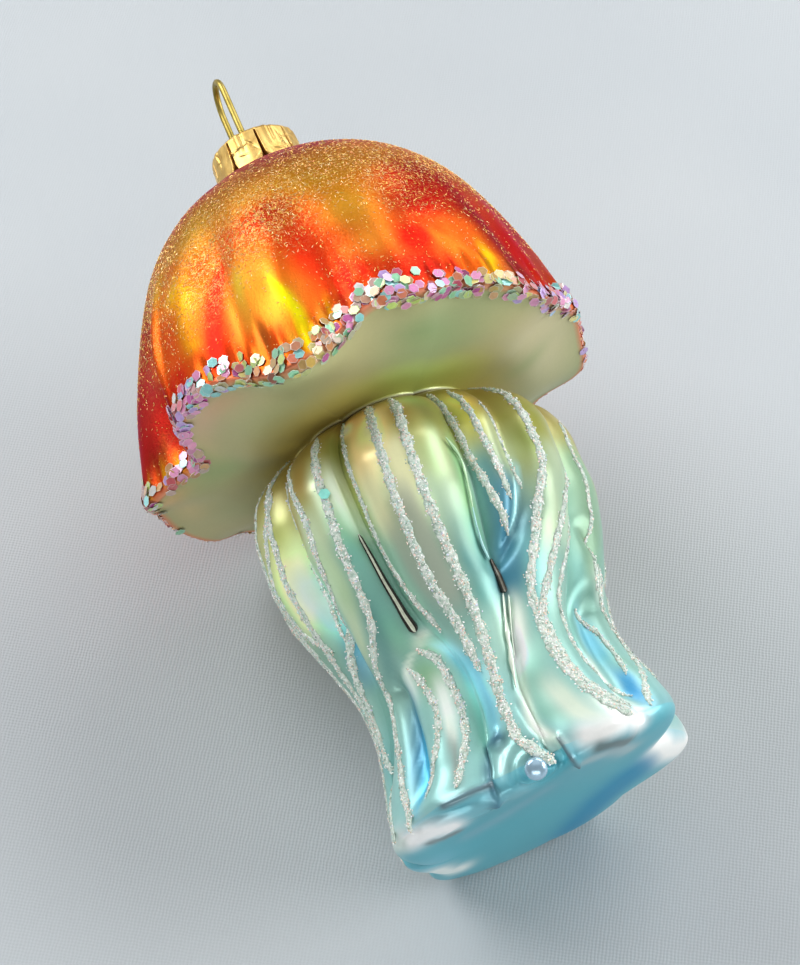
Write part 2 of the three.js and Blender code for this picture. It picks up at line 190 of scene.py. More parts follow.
def under(phi, q):
    """Underside of the bell: q from 0 at the rim to 1 at the arms' root."""
    rr, rz = rim(phi)
    s = step(0, 0.55, q)
    r = rr - 0.5 + (bundle(phi, np.full_like(np.asarray(phi, float), ROOT_Z)) - rr + 0.5) * q
    z = (rz - RIM_THICK) * (1 - s) - 5.0 * s - 1.2 * q * q
    a = np.radians(phi)
    return np.stack(np.broadcast_arrays(0.4 * (1 - q) + bundle_x(ROOT_Z) * q + r * np.sin(a), r * np.cos(a), z), -1)


def foot(phi, q):
    """Rounded end of the foot: q from 0 at its edge to 1 at its middle."""
    edge = bundle(phi, np.full_like(np.asarray(phi, float), END_Z))
    k, s = 1 - np.asarray(q, float) ** 2, step(0, 0.75, q)
    r = (edge * (1 - s) + 19.6 * s) * k
    a = np.radians(phi)
    x, u = bundle_x(END_Z) + r * np.sin(a), r * np.cos(a)
    z = END_Z - FOOT_CROWN * np.sqrt(np.clip(1 - k ** 8, 0, 1)) + slant(x, u)
    return np.stack(np.broadcast_arrays(x, u, z), -1)


def normals(surface, a, b, da=0.2, db=0.004):
    """Outward unit normals of surface(a, b) by differences."""
    pa = surface(a + da, b) - surface(a - da, b)
    pb = surface(a, b + db) - surface(a, b - db)
    n = np.cross(pa, pb)
    return n / np.maximum(np.linalg.norm(n, axis=-1, keepdims=True), 1e-9)


def place(p, clamp=True):
    """Local mm to the part's frame in metres; nothing goes below the floor."""
    p = np.asarray(p, float)
    x, u, z = p[..., 0], p[..., 1], p[..., 2]
    c, s = math.cos(LEAN), math.sin(LEAN)
    h = u * c + z * s - FLOOR
    if clamp:
        h = np.maximum(h, 0.0)
    return np.stack([x + PLACE[0], z * c - u * s + PLACE[1], h], -1) / 1000.0


def columns(per):
    """Columns of the skin's grid as (arm, share across it), a little closer together at the creases."""
    g = [float(c(ROOT_Z)) for c in crease] + [float(crease[0](ROOT_Z)) + 360]
    cols = []
    for i in range(len(crease)):
        a, b = g[i], g[i + 1]
        while b < a:
            b += 360
        n = max(6, int(round((b - a) / per)))
        for j in range(n):
            t = j / n
            cols.append((i, t - 0.13 * math.sin(2 * math.pi * t) / math.pi))
    return cols


def column_phi(cols, z):
    g = [float(c(z)) for c in crease] + [float(crease[0](z)) + 360]
    for i in range(1, len(g)):
        while g[i] < g[i - 1]:
            g[i] += 360
        while g[i] - g[i - 1] >= 360:
            g[i] -= 360
    return np.array([g[i] + (g[i + 1] - g[i]) * t for i, t in cols])


# ---------------------------------------------------------------- mesh helpers
def lin(*c):
    """sRGB 0-255 to linear."""
    c = np.array(c, float) / 255
    return np.where(c <= 0.04045, c / 12.92, ((c + 0.055) / 1.055) ** 2.4)


OWN = []


def make(name, verts, faces, mats, smooth=True, attrs=None, uv=None, face_mat=None):
    """Mesh object from arrays; faces is a list of (n, k) index arrays; attrs maps names to (n,) or (n, 3) point values."""
    me = bpy.data.meshes.new(name)
    verts = np.ascontiguousarray(verts, dtype=np.float32)
    big = np.asarray(verts, np.float64) * 1000
    inside = sum(float((big[f[:, 0]] * np.cross(big[f[:, i]], big[f[:, i + 1]])).sum()) for f in faces for i in range(1, f.shape[1] - 1))
    if inside < 0:
        faces = [f[:, ::-1] for f in faces]
    me.vertices.add(len(verts))
    me.vertices.foreach_set("co", verts.ravel())
    loops = np.concatenate([f.ravel() for f in faces]).astype(np.int32)
    sizes = np.concatenate([np.full(len(f), f.shape[1]) for f in faces])
    starts = np.concatenate([[0], np.cumsum(sizes)[:-1]]).astype(np.int32)
    me.loops.add(len(loops))
    me.loops.foreach_set("vertex_index", loops)
    me.polygons.add(len(sizes))
    me.polygons.foreach_set("loop_start", starts)
    for m in mats:
        me.materials.append(m)
    if face_mat is not None:
        me.polygons.foreach_set("material_index", face_mat.astype(np.int32))
    me.polygons.foreach_set("use_smooth", np.full(len(sizes), smooth, dtype=bool))
    me.update(calc_edges=True)
    for key, val in (attrs or {}).items():
        if val.ndim == 1:
            a = me.attributes.new(key, "FLOAT", "POINT")
            a.data.foreach_set("value", val.astype(np.float32))
        else:
            a = me.attributes.new(key, "FLOAT_COLOR", "POINT")
            a.data.foreach_set("color", np.concatenate([val, np.ones((len(val), 1))], 1).astype(np.float32).ravel())
    if uv is not None:
        layer = me.uv_layers.new(name="OFBake")
        layer.data.foreach_set("uv", np.ascontiguousarray(uv[loops], dtype=np.float32).ravel())
    ob = bpy.data.objects.new(name, me)
    bpy.context.scene.collection.objects.link(ob)
    OWN.append(ob)
    return ob


def skin_uv(part, phi, s):
    """Where a point of the glass lies on the unwrap of the skin: angle across, the way from neck to foot down."""
    lo, hi = {"dome": (1.0, 0.55), "under": (0.55, 0.5), "arm": (0.5, 0.05), "foot": (0.05, 0.0)}[part]
    t = {"dome": s, "under": s, "arm": (ROOT_Z - s) / (ROOT_Z - END_Z), "foot": s}[part]
    return np.stack([np.broadcast_to((np.asarray(phi) % 360) / 360, np.shape(s)) * 0.99 + 0.005, lo + (hi - lo) * np.clip(t, 0, 1)], -1)


# ---------------------------------------------------------------- pleats of the bell
rng = np.random.default_rng(11)
PLEATS = []          # angle, half width in degrees, depth in mm, reach up the bell as a share of it
for a, w, d, reach in [(-47, 1.5, -0.45, 0.10), (-43, 1.2, -0.35, 0.08), (-38.5, 1.6, -0.5, 0.13), (-34, 1.2, 0.35, 0.10),
                       (-30, 2.0, -0.55, 0.15), (-26, 1.3, 0.35, 0.12), (-19.5, 1.3, -0.5, 0.09), (-17, 1.1, 0.35, 0.09),
                       (-14.5, 1.3, -0.45, 0.10), (-11.5, 1.2, 0.4, 0.10), (-4, 1.8, -0.5, 0.10), (1, 1.3, 0.3, 0.07),
                       (13, 1.6, -0.3, 0.09), (19, 1.4, 0.35, 0.10), (23, 1.2, -0.4, 0.12), (27, 1.1, 0.4, 0.12),
                       (30, 1.3, -0.4, 0.10), (34, 1.2, 0.35, 0.12), (38, 1.6, -0.35, 0.12), (46, 2.0, -0.4, 0.16),
                       (-56, 2.0, -0.35, 0.12), (-62, 1.6, 0.35, 0.14), (-86, 1.6, 0.35, 0.12), (-90, 1.3, -0.4, 0.10)]:
    PLEATS.append((a, w, d, reach))
a = 54.0
while a < 262:
    PLEATS.append((a, rng.uniform(1.0, 2.0), rng.choice([-1, 1]) * rng.uniform(0.25, 0.5), rng.uniform(0.07, 0.15)))
    a += rng.uniform(3.0, 5.5)
BROAD = [(-40, 7, -0.9, 0.62, 0.30), (-22, 4.5, 0.55, 0.80, 0.14), (-8, 6, -0.7, 0.86, 0.12), (-52, 5, 0.55, 0.68, 0.2),
         (24, 4, 0.4, 0.9, 0.1), (41, 5, -0.7, 0.86, 0.16), (6, 4, 0.35, 0.85, 0.1), (-64, 2.2, 1.0, 0.78, 0.17),
         (15, 5, -0.4, 0.75, 0.15), (82, 6, -0.6, 0.8, 0.2), (106, 5, 0.5, 0.8, 0.2), (124, 6, -0.7, 0.84, 0.2),
         (146, 5, 0.5, 0.8, 0.18), (171, 5, 0.5, 0.8, 0.18), (-168, 5, -0.6, 0.8, 0.2), (-146, 5, 0.5, 0.8, 0.2),
         (-121, 5, -0.7, 0.82, 0.2), (-103, 5, 0.6, 0.8, 0.2)]   # angle, half width, mm, middle and half length as shares


def pleat(phi, t):
    out = np.zeros(np.broadcast(phi, t).shape)
    for a, w, d, reach in PLEATS:
        top = 1 - reach
        out = out + d * bump(phi, a + 6 * (1 - t) * (1 if a > -14 else -1), w * (0.55 + 0.45 * step(top, 1, t))) * step(top, top + 0.6 * reach, t) * (1 - 0.5 * step(0.985, 1.0, t))
    for a, w, d, c, l in BROAD:
        out = out + d * bump(phi, a, w) * gauss(t, c, l)
    return out


def bell(phi, t):
    return dome(phi, t, pleat)


# ---------------------------------------------------------------- the glass skin
def mix(a, b, f):
    f = np.clip(np.asarray(f), 0, 1)[..., None]
    return a * (1 - f) + b * f


def waves(phi, s, seed, n=5, low=1.0, high=3.0):
    """Slow, even unrest over angle and height, about -1 to 1."""
    r = np.random.default_rng(seed)
    out = 0
    for _ in range(n):
        out = out + np.sin(np.radians(phi) * r.integers(1, 7) + s * r.uniform(low, high) * 6.28 + r.uniform(0, 6.28))
    return out / math.sqrt(n) / 1.2


GOLD, ORANGE, RED = lin(228, 158, 44), lin(246, 116, 30), lin(232, 46, 20)
YELLOW, OLIVE, WINE = lin(255, 222, 16), lin(192, 150, 40), lin(168, 34, 34)
AMBER, BROWN, MAGENTA_TONE_AND_SHEEN, CRIMSON = lin(240, 156, 48), lin(186, 112, 44), lin(158, 40, 74), lin(212, 34, 22)
# painted areas of the bell: tone, angle, share from neck to rim, half width in degrees, half length, strength. They are
# partly the lacquer's own tones and partly painted reflections: the yellow and amber areas are painted highlights on
# the flutes, and the red, crimson and wine areas in the valleys are in part painted dark reflections
AREAS = [(RED, -22, 0.61, 15, 0.055, 0.65), (RED, -11, 0.70, 9, 0.07, 0.9), (RED, -4, 0.765, 6, 0.05, 0.9), (RED, -13, 0.80, 6, 0.075, 1.0), (CRIMSON, -10, 0.83, 3.5, 0.05, 0.5), (RED, -6, 0.90, 9, 0.06, 1.0),
         (CRIMSON, -9, 0.94, 5, 0.03, 0.6), (AMBER, 2, 0.70, 8, 0.12, 0.8), (AMBER, 3, 0.83, 4, 0.05, 0.85), (RED, 14, 0.84, 7, 0.065, 1.0), (CRIMSON, 10, 0.93, 10, 0.05, 0.85), (CRIMSON, 25, 0.60, 10, 0.08, 0.9), (CRIMSON, 31, 0.69, 7, 0.07, 0.8), (RED, 21, 0.73, 7, 0.05, 0.8), (RED, -20, 0.60, 7, 0.05, 0.5),
         (CRIMSON, 13, 0.955, 7, 0.02, 0.5), (WINE, 30, 0.58, 7, 0.06, 0.8), (RED, 20, 0.70, 7, 0.06, 0.6), (RED, 48, 0.86, 9, 0.12, 1.0), (WINE, 62, 0.80, 6, 0.16, 0.6),
         (GOLD, -63, 0.56, 7, 0.10, 0.6), (AMBER, -52, 0.71, 6.5, 0.10, 0.7), (YELLOW, -51.5, 0.70, 3.6, 0.07, 0.75), (AMBER, -51, 0.82, 5, 0.08, 0.8), (AMBER, -33, 0.76, 5, 0.07, 0.8), (ORANGE, -34, 0.80, 5, 0.09, 0.9), (AMBER, -34, 0.84, 3.6, 0.05, 0.8), (BROWN, -30.2, 0.90, 2.0, 0.04, 0.9), (ORANGE, -58, 0.84, 5, 0.08, 0.7),
         (RED, -57, 0.93, 6, 0.05, 0.8), (WINE, -92, 0.80, 12, 0.17, 1.0), (RED, -82, 0.88, 7, 0.07, 0.9), (WINE, -74, 0.72, 6, 0.10, 0.5),
         (RED, 84, 0.82, 8, 0.16, 0.9), (WINE, 124, 0.86, 9, 0.16, 0.9), (RED, 158, 0.80, 9, 0.16, 0.8), (RED, -170, 0.86, 9, 0.14, 0.9),
         (WINE, -134, 0.84, 9, 0.16, 0.8), (RED, -112, 0.76, 8, 0.14, 0.6), (YELLOW, 104, 0.84, 5, 0.12, 0.8), (YELLOW, 143, 0.86, 5, 0.1, 0.8),
         (YELLOW, 175, 0.82, 5, 0.12, 0.8), (AMBER, 72, 0.80, 6, 0.12, 0.7), (AMBER, -122, 0.84, 5, 0.1, 0.7)]
# painted streaks: tone, half width in degrees, strength, path (share from neck to rim, angle). They are partly the
# lacquer's own tones and partly painted reflections: the yellow streaks, the long flame near angle -20 among them, are
# painted highlights, and the dark crimson and brown streaks are in part painted dark reflections
STREAKS = [(ORANGE, 5.5, 0.7, [(0.66, -29), (0.76, -24), (0.85, -20), (0.93, -18)]), (AMBER, 4.8, 0.9, [(0.67, -31), (0.73, -28.5), (0.79, -26.5), (0.85, -25), (0.90, -23.5)]), (AMBER, 3.0, 0.9, [(0.78, -33.5), (0.84, -33.5), (0.88, -33)]), (AMBER, 1.5, 0.8, [(0.73, -26.5), (0.79, -24)]), (YELLOW, 1.3, 1.0, [(0.79, -24), (0.83, -22.3), (0.88, -21), (0.91, -20.2), (0.95, -20), (0.99, -19.8)]),
           (RED, 3.4, 1.0, [(0.66, -36), (0.74, -39.5), (0.82, -41.5), (0.90, -42.5), (0.98, -43.5)]), (ORANGE, 1.6, 0.8, [(0.84, -47.5), (0.92, -47.2), (0.99, -46.4)]),
           (YELLOW, 2.2, 0.5, [(0.72, -50), (0.80, -50), (0.88, -48.8)]), (CRIMSON, 1.6, 0.8, [(0.92, -37), (0.98, -37.5)]), (ORANGE, 1.3, 0.8, [(0.90, -34.5), (0.98, -34)]),
           (ORANGE, 3.6, 0.85, [(0.82, 25), (0.88, 26), (0.99, 25)]), (YELLOW, 2.0, 0.95, [(0.865, 30.5), (0.90, 30.5), (0.95, 29.8), (0.995, 29)]),
           (AMBER, 2.0, 0.7, [(0.82, 20), (0.86, 21.5), (0.90, 22.5)]), (BROWN, 1.5, 0.8, [(0.91, 34.5), (0.98, 34)]), (CRIMSON, 5.0, 0.7, [(0.94, 8), (0.99, 8)]), (CRIMSON, 4.0, 0.6, [(0.94, -2), (0.99, -2)]), (CRIMSON, 1.4, 0.7, [(0.90, 20), (0.98, 20.5)]), (WINE, 3.2, 0.95, [(0.60, 35), (0.70, 36), (0.80, 37), (0.88, 38), (0.95, 40)]),
           (OLIVE, 1.2, 0.9, [(0.89, -24), (0.97, -23.6)]), (OLIVE, 1.4, 0.9, [(0.90, -15.5), (0.97, -16)]), (YELLOW, 0.9, 0.9, [(0.90, -21.6), (0.98, -21)]),
           (YELLOW, 1.0, 0.8, [(0.90, -13), (0.96, -13.6)]), (ORANGE, 1.0, 1.0, [(0.885, -10.5), (0.95, -11.5)]), (BROWN, 1.2, 0.7, [(0.90, -29.5), (0.98, -30)]), (CRIMSON, 1.2, 0.7, [(0.80, -7), (0.90, -6), (0.98, -6)]), (BROWN, 1.0, 0.6, [(0.90, -8), (0.98, -8)]),
           (ORANGE, 0.9, 1.0, [(0.48, -91.5), (0.54, -89), (0.60, -86.5), (0.66, -84.8), (0.74, -84)]), (ORANGE, 0.8, 0.9, [(0.80, -66), (0.90, -64), (0.97, -61)]),
           (CRIMSON, 12, 0.6, [(0.80, -84), (0.99, -84)]), (ORANGE, 1.2, 0.6, [(0.88, -87), (0.96, -87)]), (YELLOW, 0.7, 0.95, [(0.945, -84.6), (0.99, -84.4)]), (ORANGE, 0.7, 0.9, [(0.93, -86.4), (0.99, -86.2)]), (YELLOW, 0.7, 0.95, [(0.935, -88.2), (0.99, -88)]), (ORANGE, 0.8, 0.8, [(0.93, -90.4), (0.99, -90.2)]), (YELLOW, 0.6, 0.8, [(0.945, -92.4), (0.99, -92.4)]),
           (ORANGE, 1.2, 0.8, [(0.88, -4.5), (0.95, -4)]), (ORANGE, 1.4, 0.6, [(0.93, -1), (0.99, -0.5)]),
           (YELLOW, 3.0, 0.8, [(0.72, -150), (0.84, -152), (0.96, -150)]), (YELLOW, 2.6, 0.8, [(0.74, 112), (0.86, 110), (0.97, 111)]), (CRIMSON, 3.0, 0.9, [(0.70, 92), (0.84, 94), (0.98, 93)])]
STREAK_PATHS = [(tone, w, k, curve(path), path[0][0], path[-1][0]) for tone, w, k, path in STREAKS]


# tone factors on the bell, partly corrections of the lacquer's tone and partly painted light and painted shade: factor
# rgb, angle, share from neck to rim, half width in degrees, half length
DOME_TONE_AND_LIGHT_FACTORS = [((0.74, 0.60, 0.45), -20, 0.595, 7, 0.05), ((0.66, 0.62, 0.60), 19, 0.71, 7, 0.06), ((0.78, 0.85, 1.0), 31, 0.75, 6, 0.05), ((0.80, 0.70, 1.0), -11, 0.94, 4, 0.03),
         ((0.68, 0.56, 0.8), 33, 0.95, 3.5, 0.03), ((1.5, 1.6, 1.8), -33, 0.84, 4, 0.06), ((1.3, 1.7, 1.3), -10, 0.80, 5, 0.05), ((1.0, 1.45, 1.2), 1, 0.69, 7, 0.08),
         ((0.56, 0.32, 0.5), -64, 0.94, 3.5, 0.05), ((0.72, 0.8, 1.2), -88, 0.92, 6, 0.04), ((1.5, 1.5, 1.2), -88, 0.76, 5, 0.07), ((0.96, 0.64, 1.0), -44, 0.90, 3, 0.06),
         ((1.0, 0.85, 0.7), -53, 0.70, 5, 0.08), ((0.9, 0.55, 0.8), -83, 0.58, 5, 0.06), ((1.0, 0.76, 0.6), -26, 0.80, 3, 0.04), ((1.0, 1.5, 1.4), -20.5, 0.90, 2.4, 0.05),
         ((1.0, 0.66, 0.8), 31, 0.60, 7, 0.05), ((1.1, 1.8, 1.8), 58, 0.84, 6, 0.07), ((0.95, 0.70, 1.0), -38, 0.87, 3, 0.05), ((0.88, 1.5, 1.4), -15, 0.65, 4, 0.05),
         ((1.25, 1.0, 1.0), -34, 0.62, 4, 0.05), ((1.0, 0.60, 0.9), -4, 0.92, 5, 0.04), ((0.84, 0.65, 0.5), -20, 0.60, 6, 0.05), ((0.82, 0.72, 0.62), 19, 0.71, 7, 0.06),
         ((1.1, 0.68, 1.0), 30, 0.61, 8, 0.05), ((0.74, 0.78, 1.2), 33, 0.95, 3.5, 0.03), ((1.0, 1.33, 1.0), -22, 0.83, 3, 0.05), ((1.0, 1.3, 1.0), -15, 0.65, 4, 0.05),
         ((1.0, 1.5, 1.5), 62, 0.85, 6, 0.05), ((1.0, 0.64, 1.0), -83, 0.58, 5, 0.06), ((1.2, 1.0, 1.0), -33, 0.84, 3, 0.06), ((0.8, 0.42, 0.45), -64, 0.94, 3.0, 0.05),
         ((1.0, 1.22, 0.7), -8, 0.57, 6, 0.05), ((1.1, 1.18, 0.72), 4, 0.59, 6, 0.05), ((0.8, 0.96, 0.8), 10, 0.65, 5, 0.05), ((0.82, 0.64, 0.7), -6, 0.78, 5, 0.05),
         ((1.18, 1.32, 1.5), 4, 0.83, 4, 0.05), ((0.82, 0.40, 0.6), 24, 0.67, 6, 0.05), ((1.05, 0.5, 0.75), 34, 0.68, 5, 0.05), ((1.1, 0.62, 1.0), 36, 0.75, 4, 0.05),
         ((0.82, 0.82, 0.95), 30, 0.87, 3, 0.04), ((0.82, 0.62, 0.9), 16, 0.95, 4, 0.03), ((0.8, 0.82, 1.0), -2, 0.86, 3, 0.04), ((0.86, 1.2, 1.4), -17, 0.84, 3, 0.04),
         ((0.95, 0.8, 0.76), -26, 0.69, 4, 0.05), ((1.28, 2.1, 1.9), -33, 0.75, 3, 0.05), ((0.95, 0.72, 0.8), -48, 0.82, 3, 0.05), ((1.15, 1.55, 0.86), -56, 0.67, 4, 0.05),
         ((0.9, 0.66, 0.5), -44, 0.65, 4, 0.05), ((1.1, 1.5, 1.5), -65, 0.60, 4, 0.05), ((0.8, 0.76, 1.1), -62, 0.76, 3, 0.05), ((1.05, 1.3, 1.8), -86, 0.73, 3, 0.06),
         ((1.05, 1.35, 1.5), -57, 0.89, 3, 0.04), ((0.9, 0.6, 0.8), -26, 0.92, 2.5, 0.03), ((1.1, 1.8, 1.7), -91, 0.84, 3, 0.05), ((0.62, 0.62, 0.6), -86, 0.91, 3, 0.04),
         ((0.88, 0.5, 0.7), 25, 0.67, 6, 0.05), ((0.84, 0.84, 0.84), -6, 0.78, 5, 0.05), ((0.95, 0.78, 0.5), -44, 0.65, 4, 0.06), ((1.15, 1.4, 1.5), -33, 0.75, 3, 0.05),
         ((1.08, 1.3, 1.0), -56, 0.67, 4, 0.05), ((1.06, 1.3, 1.4), -65, 0.60, 4, 0.05), ((0.86, 0.86, 0.9), -26, 0.92, 2.5, 0.03), ((0.86, 0.8, 0.9), 16, 0.95, 4, 0.03),
         ((1.15, 1.35, 1.3), 24, 0.58, 6, 0.04), ((1.25, 1.0, 1.2), 35, 0.67, 5, 0.05), ((0.84, 0.88, 0.75), -6, 0.78, 5, 0.05), ((1.12, 0.76, 1.0), 36, 0.75, 4, 0.05),
         ((0.94, 0.84, 0.5), -44, 0.65, 4, 0.06), ((1.18, 1.15, 1.3), -33, 0.75, 3, 0.05), ((1.04, 1.18, 0.92), -56, 0.67, 4, 0.05), ((1.0, 1.16, 1.2), -65, 0.60, 4, 0.05)]


def dome_paint(phi, t):
    c = mix(OLIVE, GOLD, 0.55 + 0.5 * waves(phi, t, 3))
    c = mix(c, ORANGE, step(0.52, 0.72, t + 0.04 * waves(phi, t, 5)) * 0.9)
    wander = phi + 1.2 * waves(phi, t, 8)
    for tone, a, s, w, l, k in AREAS:
        c = mix(c, tone, k * np.minimum(1, 1.25 * bump(wander, a, w) * gauss(t, s, l)))
    for tone, w, k, path, t0, t1 in STREAK_PATHS:
        ends = step(t0 - 0.03, t0 + 0.05, t) * (1 - step(t1 - 0.01, t1 + 0.03, t))
        c = mix(c, tone, k * ends * np.minimum(1, 1.2 * bump(phi, path(t), w * (0.6 + 0.4 * step(t0, t0 + 0.08, t)))))
    low = step(0.55, 0.72, t)[..., None] * (1 - 0.7 * bump(phi, 2, 9) * gauss(t, 0.68, 0.12))[..., None]
    c = c * (np.array([0.86, 0.80, 0.66]) * (1 - low) + np.array([0.92, 0.71, 0.60]) * low)
    # the darker patches at angles 24, -20 and -38 are painted shade, and the lighter patch at -32 is painted light
    c = c * (1 - 0.24 * bump(phi, 24, 14) * gauss(t, 0.68, 0.12) - 0.14 * bump(phi, -20, 9) * gauss(t, 0.60, 0.07) - 0.10 * bump(phi, -38, 5) * gauss(t, 0.80, 0.16) + 0.16 * bump(phi, -32, 4) * gauss(t, 0.82, 0.10))[..., None]
    # olive-yellow tinge at the upper left: a painted greenish highlight
    c = mix(c, lin(190, 160, 50), 0.5 * bump(phi, -58, 10) * gauss(t, 0.50, 0.07))
    # magenta near the neck and along the right and left edges: partly the lacquer's own magenta, partly a painted edge
    # sheen seen at a grazing angle
    c = mix(c, MAGENTA_TONE_AND_SHEEN, 0.9 * (1 - step(0.27, 0.46, t + 0.03 * waves(phi, t, 13))))
    c = mix(c, MAGENTA_TONE_AND_SHEEN, 0.5 * bump(phi, 62, 16) * gauss(t, 0.66, 0.2))
    c = mix(c, lin(206, 140, 112), 0.6 * step(0.985, 0.998, t) * bump(phi, -16, 60))
    c = mix(c, lin(168, 62, 58), 0.6 * bump(phi, -86, 14) * gauss(t, 0.62, 0.2))
    for f, a, s, w, l in DOME_TONE_AND_LIGHT_FACTORS:
        c = c * (1 + (np.array(f) - 1) * (bump(phi, a, w) * gauss(t, s, l))[..., None])
    return np.clip(c, 0, 1)


def frost_share(phi, t):
    """How thickly the gold frost lies."""
    f = 1 - 0.96 * step(0.50, 0.86, t)
    f = f * (1 - 0.6 * bump(phi, 0, 10) * gauss(t, 0.66, 0.12)) + 0.35 * bump(phi, -29, 12) * gauss(t, 0.61, 0.07)
    f = f * (1 - 0.55 * bump(phi, 34, 16) * gauss(t, 0.66, 0.10)) + 0.15 * bump(phi, -6, 8) * gauss(t, 0.84, 0.06) + 0.2 * bump(phi, 37, 3) * gauss(t, 0.78, 0.14) - 0.35 * bump(phi, 52, 9) * gauss(t, 0.78, 0.2)
    return np.clip(f + 0.16 * waves(phi, t, 51, n=7, low=1, high=4), 0, 1)


SAGE, MOSS, OLIVE_U, PALE_U, SALMON = lin(190, 184, 136), lin(156, 174, 122), lin(184, 168, 84), lin(204, 194, 154), lin(222, 128, 92)


# tone factors on the underside, partly corrections of its tone and partly painted light and painted shade: factor rgb,
# angle, share from rim to root, half width in degrees, half length
UNDER_TONE_AND_LIGHT_FACTORS = [((1.3, 1.28, 1.35), -26, 0.12, 12, 0.14), ((1.3, 1.02, 1.25), -60, 0.12, 9, 0.12), ((1.16, 1.12, 1.1), 42, 0.23, 14, 0.14), ((1.2, 1.04, 1.1), -44, 0.26, 10, 0.16),
               ((1.2, 1.08, 1.1), -72, 0.17, 8, 0.12), ((1.3, 1.1, 1.1), -106, 0.19, 10, 0.12), ((1.4, 1.0, 0.96), -93, 0.11, 5, 0.10), ((1.04, 1.2, 1.6), 13, 0.65, 20, 0.16),
               ((0.78, 0.89, 0.86), 10, 0.31, 9, 0.10)]


def under_paint(phi, q):
    c = mix(SAGE, MOSS, 0.5 + 0.6 * waves(phi, q, 21, low=0.1, high=0.5))
    c = mix(c, PALE_U, 0.8 * bump(phi, 70, 40) * gauss(q, 0.25, 0.35))
    c = mix(c, MOSS, 0.8 * bump(phi, 18, 14) * gauss(q, 0.45, 0.3))
    c = mix(c, OLIVE_U, 0.9 * step(0.4, 0.85, q))
    c = mix(c, lin(186, 204, 106), 0.85 * bump(phi, 20, 34) * step(0.5, 0.8, q))
    # lighter inner band, most on the left: painted light lifting the shade where the arms meet the underside
    c = c * (1 + 0.22 * step(0.5, 0.9, q) + 0.45 * step(0.72, 0.95, q) * bump(phi, -70, 50))[..., None]
    c = mix(c, lin(182, 176, 128), 0.8 * bump(phi, -100, 34) * (1 - step(0.55, 0.9, q)))
    c = mix(c, lin(150, 176, 120), 0.6 * bump(phi, -82, 8) * gauss(q, 0.25, 0.25))
    c = mix(c, lin(206, 150, 116), 0.35 * bump(phi, -50, 8) * gauss(q, 0.15, 0.08))
    c = mix(c, lin(150, 166, 108), 0.5 * bump(phi, 72, 5) * gauss(q, 0.45, 0.2))
    for f, a, s, w, l in UNDER_TONE_AND_LIGHT_FACTORS:
        c = c * (1 + (np.array(f) - 1) * (bump(phi, a, w) * gauss(q, s, l))[..., None])
    return mix(c, SALMON, (0.9 - 0.45 * bump(phi, -16, 60)) * (1 - step(0.0, 0.045, q)))


tone_r = [curve([(-66, v[0]), (-58, v[1]), (-46, v[2]), (-36, v[3]), (-28, v[4]), (-22, v[5]), (-16, v[6]), (-10, v[7]), (-6, v[8])])
          for v in zip(lin(110, 176, 196), lin(150, 202, 196), lin(150, 196, 182), lin(136, 180, 164), lin(156, 188, 156),
                       lin(178, 192, 140), lin(180, 176, 104), lin(168, 146, 74), lin(158, 136, 70))]
TEAL, CREAM, PEARL_HIGHLIGHT = lin(108, 168, 158), lin(240, 238, 186), lin(236, 246, 232)
MINT, SAGE_L, GOLDEN, BROWN_O = lin(206, 232, 200), lin(190, 206, 166), lin(252, 224, 150), lin(178, 132, 64)
OLIVE_B, OLIVE_G, GREY_P, TEAL_D = lin(164, 138, 66), lin(142, 152, 74), lin(182, 184, 164), lin(82, 140, 138)
BLUE_D, AQUA, ICE, BLUE_B, LEAF = lin(64, 134, 162), lin(120, 190, 190), lin(176, 234, 236), lin(44, 150, 208), lin(142, 192, 136)
